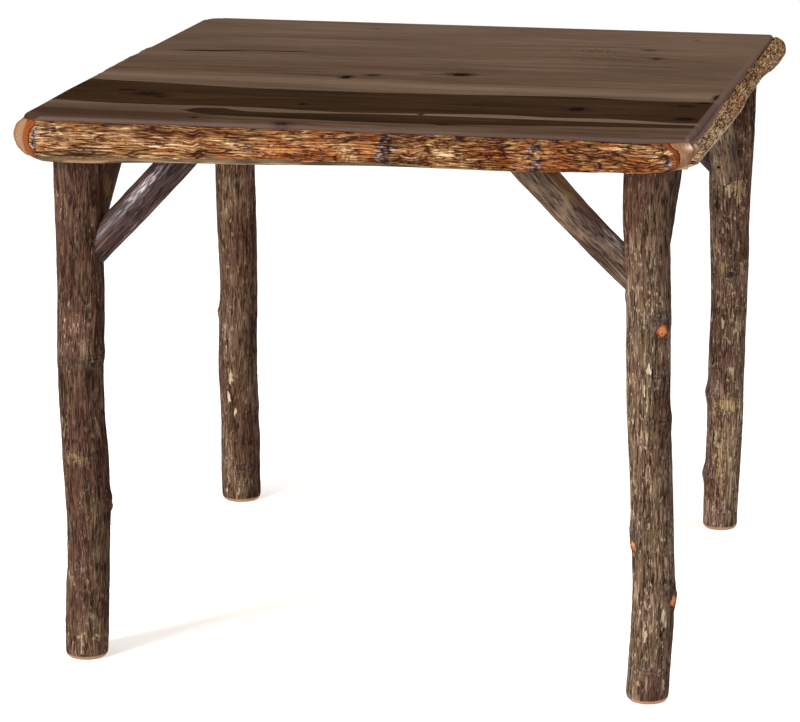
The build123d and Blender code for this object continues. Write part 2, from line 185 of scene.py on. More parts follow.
def tube(name, pts, attrs, columns=1, flat_cols=None):
    """A closed tube from pts (rows, around, 3), its ends fanned to their middles, unrolled into `columns` UV strips."""
    n, m = pts.shape[:2]
    verts = np.concatenate([pts.reshape(-1, 3), pts[0].mean(0)[None], pts[-1].mean(0)[None]])
    i, j = np.meshgrid(np.arange(n - 1), np.arange(m), indexing="ij")
    j2 = (j + 1) % m
    quads = np.stack([i * m + j, i * m + j2, (i + 1) * m + j2, (i + 1) * m + j], -1).reshape(-1, 4)
    k = np.arange(m)
    k2 = (k + 1) % m
    tri0 = np.stack([np.full(m, n * m), k2, k], -1)
    tri1 = np.stack([np.full(m, n * m + 1), (n - 1) * m + k, (n - 1) * m + k2], -1)

    # UV strips: rows split evenly into columns, each strip's own corner of the square
    cuts = np.linspace(0, n - 1, columns + 1).round().astype(int)
    col = np.clip(np.searchsorted(cuts, i.ravel(), side="right") - 1, 0, columns - 1)
    width, gap = 1.0 / columns, 0.004
    r0 = i.ravel()
    lo, hi = cuts[col], cuts[col + 1]

    def uvs(row, around):
        u = col * width + gap + (around / m) * (width - 2 * gap)
        v = 0.03 + (row - lo) / (hi - lo) * 0.94
        return np.stack([u, v], -1)

    jj = j.ravel()
    quv = np.stack([uvs(r0, jj), uvs(r0, jj + 1), uvs(r0 + 1, jj + 1), uvs(r0 + 1, jj)], 1)
    u_a, u_b = gap + k / m * (width - 2 * gap), gap + (k + 1) / m * (width - 2 * gap)
    mid = (u_a + u_b) / 2
    t0 = np.stack([np.stack([mid, np.full(m, 0.004)], -1), np.stack([u_b, np.full(m, 0.03)], -1),
                   np.stack([u_a, np.full(m, 0.03)], -1)], 1)
    off = (columns - 1) * width
    t1 = np.stack([np.stack([off + mid, np.full(m, 0.996)], -1), np.stack([off + u_a, np.full(m, 0.97)], -1),
                   np.stack([off + u_b, np.full(m, 0.97)], -1)], 1)
    v = verts
    vol = np.einsum("ij,ij->i", v[quads[:, 0]], np.cross(v[quads[:, 1]], v[quads[:, 2]])).sum() \
        + np.einsum("ij,ij->i", v[quads[:, 0]], np.cross(v[quads[:, 2]], v[quads[:, 3]])).sum() \
        + np.einsum("ij,ij->i", v[tri0[:, 0]], np.cross(v[tri0[:, 1]], v[tri0[:, 2]])).sum() \
        + np.einsum("ij,ij->i", v[tri1[:, 0]], np.cross(v[tri1[:, 1]], v[tri1[:, 2]])).sum()
    if vol < 0:
        quads, quv = quads[:, ::-1], quv[:, ::-1]
        tri0, tri1, t0, t1 = tri0[:, ::-1], tri1[:, ::-1], t0[:, ::-1], t1[:, ::-1]
    loops = np.concatenate([quads.ravel(), tri0.ravel(), tri1.ravel()])
    uv = np.concatenate([quv.reshape(-1, 2), t0.reshape(-1, 2), t1.reshape(-1, 2)])
    starts = np.concatenate([np.arange(len(quads)) * 4, len(quads) * 4 + np.arange(2 * m) * 3])
    flat = np.zeros(len(starts), bool)
    flat[len(quads):] = True
    if flat_cols is not None:
        flat[:len(quads)] = flat_cols[jj]
    full = {}
    for key, a in attrs.items():
        a = np.broadcast_to(a, (n, m))
        full[key] = np.concatenate([a.ravel(), [a[0].mean()], [a[-1].mean()]])
    return build_mesh(name, verts, loops, starts, uv, full, flat)


# ================================================================ node material helpers
def lin(r, g, b):
    """An 8-bit colour as the linear RGBA that Blender's sockets take."""
    out = []
    for c in (r, g, b):
        c = c / 255.0
        out.append(c / 12.92 if c <= 0.04045 else ((c + 0.055) / 1.055) ** 2.4)
    return tuple(out) + (1.0,)


class Mat:
    def __init__(self, name):
        self.mat = bpy.data.materials.new(name)
        self.mat.use_nodes = True
        self.nt = self.mat.node_tree
        self.nt.nodes.clear()
        self.out = self.nt.nodes.new("ShaderNodeOutputMaterial")
        self.bsdf = self.nt.nodes.new("ShaderNodeBsdfPrincipled")
        self.nt.links.new(self.bsdf.outputs[0], self.out.inputs[0])

    def put(self, socket, value):
        if isinstance(value, bpy.types.NodeSocket):
            self.nt.links.new(value, socket)
        else:
            socket.default_value = value

    def attr(self, name):
        n = self.nt.nodes.new("ShaderNodeAttribute")
        n.attribute_name = name
        return n.outputs["Fac"]

    def pos(self):
        return self.nt.nodes.new("ShaderNodeNewGeometry").outputs["Position"]

    def math(self, op, a, b=0.0, c=0.0, clamp=False):
        n = self.nt.nodes.new("ShaderNodeMath")
        n.operation, n.use_clamp = op, clamp
        self.put(n.inputs[0], a)
        self.put(n.inputs[1], b)
        if op in ("MULTIPLY_ADD", "SMOOTH_MIN", "SMOOTH_MAX", "COMPARE", "WRAP"):
            self.put(n.inputs[2], c)
        return n.outputs[0]

    def add(self, a, b):
        return self.math("ADD", a, b)

    def mul(self, a, b):
        return self.math("MULTIPLY", a, b)

    def remap(self, v, a, b, c=0.0, d=1.0, smoothed=True):
        n = self.nt.nodes.new("ShaderNodeMapRange")
        n.interpolation_type = "SMOOTHSTEP" if smoothed else "LINEAR"
        self.put(n.inputs[0], v)
        for i, x in enumerate((a, b, c, d)):
            n.inputs[i + 1].default_value = x
        return n.outputs[0]

    def vec(self, x, y, z):
        n = self.nt.nodes.new("ShaderNodeCombineXYZ")
        for s, v in zip(n.inputs, (x, y, z)):
            self.put(s, v)
        return n.outputs[0]

    def split(self, v):
        n = self.nt.nodes.new("ShaderNodeSeparateXYZ")
        self.put(n.inputs[0], v)
        return n.outputs

    def scale(self, v, s):
        n = self.nt.nodes.new("ShaderNodeVectorMath")
        n.operation = "MULTIPLY"
        self.put(n.inputs[0], v)
        n.inputs[1].default_value = s
        return n.outputs[0]

    def vadd(self, a, b):
        n = self.nt.nodes.new("ShaderNodeVectorMath")
        n.operation = "ADD"
        self.put(n.inputs[0], a)
        self.put(n.inputs[1], b)
        return n.outputs[0]

    def noise(self, v, scale=1.0, detail=3.0, rough=0.5, distort=0.0):
        n = self.nt.nodes.new("ShaderNodeTexNoise")
        self.put(n.inputs["Vector"], v)
        n.inputs["Scale"].default_value = scale
        n.inputs["Detail"].default_value = detail
        n.inputs["Roughness"].default_value = rough
        n.inputs["Distortion"].default_value = distort
        return n.outputs["Fac"]

    def ramp(self, fac, stops, interp="LINEAR"):
        n = self.nt.nodes.new("ShaderNodeValToRGB")
        n.color_ramp.interpolation = interp
        el = n.color_ramp.elements
        while len(el) < len(stops):
            el.new(0.5)
        for e, (p, c) in zip(el, stops):
            e.position = p
        for e, (p, c) in zip(el, stops):
            e.color = lin(*c)
        self.put(n.inputs[0], fac)
        return n.outputs[0]

    def mix(self, fac, a, b, mode="MIX"):
        n = self.nt.nodes.new("ShaderNodeMix")
        n.data_type, n.blend_type = "RGBA", mode
        self.put(n.inputs[0], fac)
        self.put(n.inputs[6], a)
        self.put(n.inputs[7], b)
        return n.outputs[2]

    def bump(self, height, strength, distance, normal=None):
        n = self.nt.nodes.new("ShaderNodeBump")
        n.inputs["Strength"].default_value = strength
        n.inputs["Distance"].default_value = distance
        self.put(n.inputs["Height"], height)
        if normal is not None:
            self.put(n.inputs["Normal"], normal)
        return n.outputs[0]

    def crease(self, v, width):
        """Thin lines where a noise passes its middle value."""
        return self.remap(self.math("ABSOLUTE", self.add(v, -0.5)), 0.0, width, 1.0, 0.0)

    def finish(self, **inputs):
        for key, value in inputs.items():
            self.put(self.bsdf.inputs[key.replace("_", " ")], value)
        return self.mat


# ================================================================ shared dimensions, as in the CAD
Z_FRAME, Z_PANEL, HEIGHT, HALF = 721.0, 740.0, 762.0, 443.0
HEEL = 24.0                                  # the front left mitre runs on this far under the panel
TOP_ROUND = 9.5
SEAMS_Y = [-346.0, -130.0, 95.0, 290.0]

LEGS = {
    "leg_front_left": [
        (0, -386.2, -386.6, 28.4), (60, -384.0, -387.2, 28.8), (130, -379.8, -388.4, 28.3),
        (200, -377.6, -389.6, 29.1), (270, -379.0, -390.8, 30.6), (340, -381.8, -391.6, 30.3),
        (410, -382.8, -392.0, 30.2), (490, -379.8, -392.0, 30.8), (570, -379.1, -391.6, 31.0),
        (650, -379.2, -391.2, 32.0), (721, -379.0, -391.0, 32.0)],
    "leg_front_right": [
        (0, 393.6, -397.1, 27.2), (60, 396.6, -396.6, 27.6), (140, 399.3, -395.4, 27.4),
        (210, 397.4, -394.0, 27.3), (290, 394.3, -392.6, 27.4), (360, 390.8, -391.6, 27.7),
        (430, 387.6, -391.0, 27.9), (500, 386.8, -390.8, 28.4), (570, 385.2, -390.8, 28.4),
        (640, 382.4, -391.0, 29.2), (721, 382.6, -391.0, 29.7)],
    "leg_back_left": [
        (0, -381.8, 389.0, 29.6), (60, -382.8, 388.0, 30.3), (130, -382.4, 387.4, 29.5),
        (200, -384.0, 387.6, 30.1), (270, -383.8, 388.6, 29.7), (350, -381.8, 389.8, 29.0),
        (420, -382.8, 390.6, 29.8), (500, -384.7, 391.2, 30.2), (570, -385.0, 391.4, 30.7),
        (650, -384.0, 391.2, 30.4), (721, -383.4, 391.0, 30.2)],
    "leg_back_right": [
        (0, 384.2, 396.1, 25.7), (60, 385.2, 396.6, 26.0), (130, 387.4, 396.2, 26.6),
        (200, 388.4, 395.0, 26.8), (270, 389.4, 393.8, 26.8), (350, 390.9, 392.6, 26.7),
        (420, 391.1, 391.8, 28.1), (500, 389.7, 391.2, 29.7), (570, 390.3, 391.0, 31.6),
        (650, 392.6, 391.0, 31.9), (721, 392.8, 391.0, 31.7)],
}

BRACES = {
    "brace_front_left_x": ("leg_front_left", "x", 1, 22.2, 21.8, 1.5, 4.0, 4.0, 2.0, 3.4),
    "brace_front_left_y": ("leg_front_left", "y", 1, 20.4, 24.0, -1.5, -1.0, 2.0, 0.0, 0.0),
    "brace_front_right_x": ("leg_front_right", "x", -1, 20.6, 23.2, -1.0, 8.0, 8.0, -0.7, -4.6),
    "brace_front_right_y": ("leg_front_right", "y", 1, 19.4, 22.4, 1.8, -2.0, 1.5, 0.0, 0.0),
    "brace_back_left_x": ("leg_back_left", "x", 1, 21.2, 20.6, -1.6, 0.0, 0.0, 0.0, 0.0),
    "brace_back_left_y": ("leg_back_left", "y", -1, 20.4, 21.6, 1.2, 0.0, 1.5, 0.0, 0.0),
    "brace_back_right_x": ("leg_back_right", "x", -1, 20.8, 21.8, 1.4, 0.0, 0.0, 2.0, 2.0),
    "brace_back_right_y": ("leg_back_right", "y", -1, 20.2, 21.4, -1.2, -5.0, -5.0, -7.0, -6.0),
}
NAIL_SIDE = {"brace_back_right_y": -6.0}     # this brace's nail into the leg stands off its centre line

RAILS = {
    "edge_rail_front": [
        (-480, 709.0, 752.5, 14.0), (-440, 702.0, 753.0, 14.8), (-395, 698.6, 753.0, 16.4),
        (-275, 702.2, 753.0, 16.8), (-116, 705.8, 753.5, 16.0), (50, 710.4, 753.8, 15.8),
        (200, 710.2, 753.5, 16.2), (340, 712.8, 753.0, 15.6), (410, 716.6, 753.4, 15.2),
        (445, 720.0, 757.0, 15.0), (480, 721.5, 758.5, 15.0)],
    "edge_rail_right": [
        (-480, 721.5, 758.5, 15.0), (-445, 721.8, 757.0, 15.0), (-400, 723.0, 754.0, 15.0),
        (-230, 718.6, 754.0, 15.4), (-80, 717.0, 754.0, 15.8), (50, 718.6, 754.0, 15.6),
        (180, 725.0, 754.0, 16.6), (310, 726.4, 754.0, 19.4), (400, 725.6, 754.6, 21.0),
        (440, 725.0, 755.5, 20.6), (480, 725.5, 756.0, 19.6)],
    "edge_rail_back": [
        (-480, 718.0, 751.5, 15.6), (-430, 715.0, 753.0, 16.4), (-290, 712.5, 753.5, 17.0),
        (-120, 710.5, 753.5, 16.4), (60, 713.0, 753.5, 15.8), (220, 716.5, 753.5, 15.4),
        (350, 720.5, 753.5, 16.2), (440, 724.0, 755.0, 15.8), (480, 725.0, 756.0, 15.0)],
    "edge_rail_left": [
        (-480, 709.0, 752.5, 15.4), (-440, 703.0, 753.0, 16.2), (-380, 703.5, 753.0, 16.2),
        (-240, 708.0, 753.5, 17.6), (-80, 711.0, 755.0, 20.6), (50, 712.0, 757.0, 21.0),
        (160, 713.5, 755.5, 19.8), (310, 714.5, 753.5, 16.6), (430, 716.5, 753.0, 15.4),
        (480, 718.0, 751.5, 14.8)],
}

CORNERS = {
    "front_left": ((-300.0, -300.0), [(692, 166.9), (700, 181.3), (705, 187.0), (712, 191.8), (719, 194.5),
                                      (727, 195.6), (734, 194.8), (741, 192.4), (747, 189.8), (752, 187.2),
                                      (756, 183.4), (759, 179.4), (762, 173.8)]),
    "front_right": ((300.0, -300.0), [(712, 172.0), (718, 184.0), (722, 191.0), (726, 199.0), (732, 204.4),
                                      (738, 207.6), (744, 210.4), (749, 212.6), (755, 214.2), (760, 214.0),
                                      (764, 211.0)]),
    "back_right": ((430.0, 428.0), [(712, 16.0), (718, 25.0), (724, 31.0), (731, 34.5), (739, 35.0),
                                    (745, 34.2), (750, 32.0), (755, 27.4), (759.5, 19.0), (762.0, 12.0)]),
    "back_left": ((-413.0, 413.0), [(704, 26.0), (711, 36.0), (718, 42.0), (728, 46.0), (738, 46.0),
                                    (746, 43.8), (752, 38.2), (757, 31.0), (760.5, 24.0), (762.0, 19.0)]),
}
RAIL_NAILS = [-372.0, -226.0, -78.0, 70.0, 214.0, 366.0]
RAIL_NAIL_Z = 746.5


def axis_at(rows, z):
    rows = np.array(rows, float)
    return [spline(rows[:, 0], rows[:, i], z) for i in (1, 2, 3)]


# ================================================================ legs
# cut knots (z, angle, radius), node rings (z, angle, angular half width, swelling),
# scars of pale inner bark (z, angle, half height, half width in mm), lumps (z, angle, size, height)
# light: painted light and shade per leg, by height (z, amount), darker up under the top
LEG_LOOK = {
    "leg_front_left": dict(
        seed=110, red=0.90, light=[(0, -0.23), (300, -0.30), (721, -0.42)],
        knots=[(221.0, 12.0, 6.0)],
        rings=[(425.0, -40.0, 95.0, 1.6), (287.0, -105.0, 60.0, 0.9), (102.0, 140.0, 70.0, 1.2), (604.0, 60.0, 60.0, 1.0)],
        patches=[(287.0, -94.0, 9.0, 17.0, 0.85), (32.0, -51.0, 5.0, 6.0, 0.8)],
        scars=[(36.0, -46.0, 3.0, 2.0),
               (610.0, 150.0, 9.0, 3.0), (350.0, 95.0, 12.0, 3.5)],
        lumps=[(221.0, 0.0, 16.0, 2.2), (431.0, -4.0, 14.0, 1.8), (520.0, 120.0, 18.0, 2.0)]),
    "leg_front_right": dict(
        seed=210, red=0.30, patches=[(363.0, -90.0, 8.0, 9.0, 0.5), (190.0, -70.0, 30.0, 8.0, 0.4)], light=[(0, -0.10), (200, -0.05), (480, -0.05), (600, -0.20), (721, -0.42)],
        knots=[(504.3, -46.0, 8.2), (214.5, -146.0, 6.5), (140.0, -17.0, 8.0), (545.6, -176.0, 4.6), (330.0, 100.0, 7.0)],
        rings=[(520.0, -62.0, 55.0, 1.6), (448.0, -60.0, 60.0, 1.0), (386.0, -40.0, 62.0, 1.7),
               (233.0, -150.0, 45.0, 1.4), (53.0, -80.0, 80.0, 1.2), (150.0, -20.0, 40.0, 1.0), (345.0, 100.0, 60.0, 1.4)],
        scars=[(453.7, -80.0, 8.5, 3.0), (122.7, -52.0, 11.0, 3.8), (96.7, -101.0, 11.0, 3.4), (424.0, -92.0, 9.0, 1.3),
               (363.0, -90.0, 7.0, 1.5), (546.0, -50.0, 4.0, 2.0), (404.0, -86.0, 7.0, 1.3), (112.0, -44.0, 8.0, 2.4),
               (250.0, 70.0, 14.0, 4.0), (590.0, 60.0, 8.0, 3.0)],
        lumps=[(512.0, -22.0, 13.0, 2.2), (386.0, -20.0, 12.0, 2.0), (146.0, -14.0, 13.0, 1.6), (226.0, -150.0, 15.0, 2.0)]),
    "leg_back_left": dict(
        seed=310, red=0.45, light=[(0, -0.25), (721, -0.31)],
        knots=[(307.0, -150.0, 4.2), (470.0, 80.0, 7.0)],
        rings=[(307.0, -150.0, 60.0, 1.0), (488.0, 85.0, 60.0, 1.6), (150.0, 40.0, 90.0, 1.2), (60.0, -70.0, 70.0, 1.0)],
        scars=[(18.0, -124.0, 5.0, 2.6), (204.0, -97.0, 12.0, 3.6), (171.0, -106.0, 10.0, 3.0), (150.0, -88.0, 7.0, 2.4),
               (390.0, 60.0, 12.0, 4.0)],
        lumps=[(95.0, 10.0, 22.0, 1.8), (307.0, -140.0, 13.0, 1.4)]),
    "leg_back_right": dict(
        seed=410, red=0.88, patches=[(201.0, -70.0, 10.0, 22.0, 0.9), (110.0, -90.0, 45.0, 7.0, 0.6), (537.0, -61.0, 16.0, 6.0, 0.9),
                            (418.0, -100.0, 9.0, 6.0, 0.8), (416.0, -45.0, 9.0, 4.0, 0.8), (350.0, -78.0, 20.0, 6.0, 0.5)],
        healed=[(407.0, -79.5, 8.5), (512.5, -119.5, 9.5)], light=[(0, 0.19), (380, 0.12), (460, -0.02), (721, -0.13)],
        knots=[(300.0, 95.0, 7.0)],
        rings=[(214.0, 180.0, 60.0, 2.2), (84.0, 180.0, 62.0, 2.2), (407.0, -75.0, 40.0, 1.2), (24.0, -90.0, 45.0, 0.8),
               (318.0, 95.0, 60.0, 1.3)],
        scars=[(540.0, -86.0, 18.0, 4.0), (330.0, -100.0, 10.0, 3.0), (250.0, -60.0, 12.0, 3.0), (150.0, -110.0, 10.0, 3.0),
               (470.0, 120.0, 12.0, 4.0)],
        lumps=[(214.0, -178.0, 16.0, 2.0), (84.0, -178.0, 15.0, 2.0), (407.0, -78.0, 12.0, 1.6)]),
}


def wrap(a):
    return (a + math.pi) % TAU - math.pi


def make_leg(name):
    look = LEG_LOOK[name]
    seed = look["seed"]
    shades = look["light"]
    nt, nz = 256, 356
    th = np.arange(nt) * TAU / nt
    z = np.linspace(4.0, Z_FRAME, nz)
    zz, tt = np.meshgrid(z, th, indexing="ij")
    cx, cy, r0 = axis_at(LEGS[name], z)
    girth = TAU * 29.0
    c = tt * 29.0
    h, deep, own = strands(c, zz, girth, 3.3, 36.0, seed)
    lumpy = 0.8 * field(c, zz, girth, 62.0, 150.0, seed + 20) + 0.45 * field(c, zz, girth, 26.0, 48.0, seed + 21)
    node = np.zeros_like(h)
    swell = np.zeros_like(h)
    for z0, a0, span, amp in look["rings"]:
        slant = 5.0 * np.sin(tt * 1 + z0)
        dz = (zz - z0 + slant) / 9.0
        win = gauss(wrap(tt - math.radians(a0)) / math.radians(span))
        node = np.maximum(node, gauss(dz) * win)
        swell += amp * win * gauss((zz - z0 + slant) / 12.0)
    for z0, a0, size, amp in look["lumps"]:
        d = np.hypot(zz - z0, wrap(tt - math.radians(a0)) * 29.0)
        swell += amp * gauss(d / size)
    wr = field(c, zz, girth, 8.0, 2.8, seed + 30)
    wr2 = field(c, zz, girth, 3.4, 3.2, seed + 31)
    h = h * (1 - 0.45 * node) + node * (0.28 + 0.34 * wr + 0.3 * wr2)
    # painted highlights: cream glints along one side of a plate, where worn crests and thin curled slivers would catch
    # the light; the glints are raised a little too
    glint_zone = smooth(-0.25, 0.45, field(c, zz, girth, 30.0, 70.0, seed + 52) + 0.5 * shades[1][1] + 0.1)
    glint = gauss((field(c, zz, girth, 2.6, 13.0, seed + 54) - 0.30) / 0.10) * glint_zone
    glint *= smooth(0.0, 0.35, field(c, zz, girth, 5.0, 11.0, seed + 53))
    pith = np.zeros_like(h)
    healed = np.zeros_like(h)
    for z0, a0, size in look.get("healed", []):         # branch scars the bark has closed over, puckered and dark
        d = np.hypot((zz - z0) * 0.8, wrap(tt - math.radians(a0)) * 29.0) / size
        healed = np.maximum(healed, 1 - smooth(0.45, 1.25, d + 0.5 * wr2))
        h = h + (0.26 * np.cos(d * 9.0) - 0.22) * gauss(d / 1.1) - 0.5 * gauss(d / 0.28)
        swell += 1.3 * gauss(d / 1.5)
    patch = np.zeros_like(h)
    for z0, a0, hz, hw, amp in look.get("patches", []):
        d = np.hypot((zz - z0) / hz, wrap(tt - math.radians(a0)) * 29.0 / hw)
        patch = np.maximum(patch, amp * (1 - smooth(0.5, 1.5, d + 0.9 * wr + 0.5 * wr2)))
    scar = np.zeros_like(h)
    rag = field(c, zz, girth, 2.6, 6.0, seed + 40) + 0.6 * field(c, zz, girth, 1.7, 12.0, seed + 41)
    for z0, a0, hz, hw in look["scars"]:
        d = np.hypot((zz - z0) / hz, wrap(tt - math.radians(a0)) * 29.0 / hw)
        scar = np.maximum(scar, 1 - smooth(0.62, 1.05, d + 0.55 * rag))
    # thin loose flakes of outer bark that curl off as pale slivers
    flake_zone = smooth(0.05, 0.5, field(c, zz, girth, 40.0, 120.0, seed + 50) + 0.25 * shades[1][1])
    flake = smooth(0.62, 0.85, field(c, zz, girth, 1.9, 7.0, seed + 51)) * flake_zone
    h = h * (1 - 0.6 * scar) + 0.40 * scar
    rad = r0[:, None] + lumpy + swell + (h - 0.62) * 2.0 + 0.45 + 0.4 * flake + 0.4 * glint - 0.5 * scar
    # sawn-off branch stubs: a flat disc on a low swelling
    cut = np.full_like(h, 2.0)
    shade = np.zeros_like(h)
    for z0, a0, rk in look["knots"]:
        dt = wrap(tt - math.radians(a0))
        d = np.hypot((zz - z0) * 0.94, dt * 29.0) + 2.1 * field(c, zz, girth, 5.0, 5.0, seed + 60) + 0.9 * field(c, zz, girth, 2.6, 2.6, seed + 61)
        pith = np.maximum(pith, gauss(np.hypot(zz - z0 + 0.42 * rk, dt * 29.0 - 0.1 * rk) / (0.20 * rk)))
        near = np.abs(dt) < 1.2
        r_here = float(spline([p[0] for p in LEGS[name]], [p[3] for p in LEGS[name]], z0))
        rad = rad + np.where(near, 1.5 * gauss(np.maximum(d - rk, 0) / (rk * 0.8)), 0)
        plane = (r_here + 1.3) / np.maximum(np.cos(dt), 0.5)
        inside = (d < rk) & near
        rad = np.where(inside, plane - 0.35 * smooth(0.7, 1.0, d / rk), rad)
        cut = np.where(near & (d < rk * 1.9), np.minimum(cut, d / rk), cut)
        brow = np.hypot((zz - z0 - rk * 1.5) / (rk * 1.7), dt * 29.0 / (rk * 2.0))
        shade = np.maximum(shade, np.where(near, 1 - smooth(0.5, 1.25, brow + 0.3 * rag), 0))
    foot = smooth(9.0, 4.0, zz)
    rad = rad * (1 - foot) + (r0[:, None] + 0.3 * lumpy) * foot
    x = cx[:, None] + rad * np.cos(tt)
    y = cy[:, None] + rad * np.sin(tt)
    body = np.stack([x, y, zz], -1)
    # foot: bare chamfer, then the sawn end in rings; head: shoulder and tenon
    fx, fy = cx[0], cy[0]
    edge_r = np.hypot(body[0, :, 0] - fx, body[0, :, 1] - fy)

    def ring(px, py, radius, height):
        return np.stack([px + radius * np.cos(th), py + radius * np.sin(th), np.full(nt, height)], -1)

    bottom = [ring(fx, fy, f * (edge_r - 3.6), 0.0) for f in (0.06, 0.3, 0.55, 0.8, 1.0)]
    bottom += [ring(fx, fy, edge_r - 3.6 * (1 - f), 4.0 * f - 0.5 * math.sin(f * math.pi)) for f in (0.25, 0.5, 0.75)]
    tx, ty = cx[-1], cy[-1]
    top = [ring(tx, ty, 17.0 + (30.0 - 17.0) * f, Z_FRAME) for f in (0.5, 0.02)]
    top += [ring(tx, ty, 16.9, Z_FRAME + 19.0 * f) for f in (0.33, 0.66, 1.0)]
    top += [ring(tx, ty, 16.9 * f, Z_PANEL) for f in (0.6, 0.15)]
    pts = np.concatenate([np.array(bottom), body, np.array(top)])
    nb, ntop = len(bottom), len(top)

    def pad(a, lo, hi):
        return np.concatenate([np.full((nb, nt), lo), a, np.full((ntop, nt), hi)])

    tone = look["red"] + 0.75 * field(c, zz, girth, 48.0, 130.0, seed + 70) + 0.25 * field(c, zz, girth, 14.0, 45.0, seed + 71)
    # painted light and shade: darker up under the top and on legs in the shade, lighter on the side towards the key
    # light, over a random tone
    light = np.interp(zz, [q[0] for q in shades], [q[1] for q in shades]) + 0.30 * field(c, zz, girth, 36.0, 90.0, seed + 72) \
        + 0.17 * np.cos(tt - math.radians(-140.0))
    attrs = {
        "relief": pad(np.clip(h, -0.2, 1.3), 0.6, 0.6), "furrow": pad(deep, 0, 0),
        "tone": pad(np.clip(tone, 0, 1), 0.4, 0.4), "light": pad(light, 0, 0),
        "scar": pad(scar, 0, 0), "flake": pad(flake, 0, 0), "cut": pad(cut, 2, 2), "pith": pad(pith, 0, 0), "glint": pad(glint, 0, 0),

        "shade": pad(np.clip(np.maximum(shade, 0.95 * healed) + 0.5 * node, 0, 1), 0, 0), "patch": pad(patch, 0, 0), "bare": pad(smooth(5.6, 4.2, zz), 1, 1),
        "ringr": pad(rad, 0, 0),
    }
    attrs["ringr"][:nb] = np.array([np.hypot(b[:, 0] - fx, b[:, 1] - fy) for b in bottom])
    attrs["ringr"][-ntop:] = np.array([np.hypot(b[:, 0] - tx, b[:, 1] - ty) for b in top])
    return tube(name + "_bark", pts, attrs, columns=2)


# ================================================================ braces
BRACE_LOOK = {   # (seed, tone: 0 purple smooth bark .. 1 grey brown, lumps (t, angle, size, height))
    "brace_front_left_x": (510, 0.0, [(0.72, 300.0, 14.0, 1.0), (0.38, 100.0, 18.0, 0.8)]),
    "brace_front_left_y": (520, 0.55, [(0.5, 60.0, 16.0, 1.4)]),
    "brace_front_right_x": (530, 0.62, [(0.64, 205.0, 9.0, 2.6), (0.60, 235.0, 12.0, 1.4)]),
    "brace_front_right_y": (540, 0.75, [(0.6, 120.0, 16.0, 1.5)]),
    "brace_back_left_x": (550, 0.45, [(0.35, 200.0, 15.0, 1.6)]),
    "brace_back_left_y": (560, 0.60, [(0.7, 30.0, 15.0, 1.4)]),
    "brace_back_right_x": (570, 0.15, [(0.5, 90.0, 15.0, 1.4)]),
    "brace_back_right_y": (580, 1.00, [(0.62, 330.0, 15.0, 1.3)]),
}
# painted highlight streaks (angle, half width, place along and its half length, strength) and painted light and shade
# per brace
BRACE_SHINE = {"brace_front_left_x": (158.0, 17.0, 0.62, 0.26, 1.0), "brace_front_right_x": (238.0, 20.0, 0.14, 0.13, 0.9),
               "brace_front_left_y": (30.0, 12.0, 0.5, 0.3, 0.4), "brace_back_right_x": (150.0, 16.0, 0.5, 0.3, 0.7)}
BRACE_LIGHT = {"brace_front_left_x": -0.10, "brace_front_left_y": -0.62, "brace_front_right_x": -0.05, "brace_front_right_y": -0.50, "brace_back_right_y": 0.08}
BRACE_RISE, BRACE_REACH = 169.0, 163.0


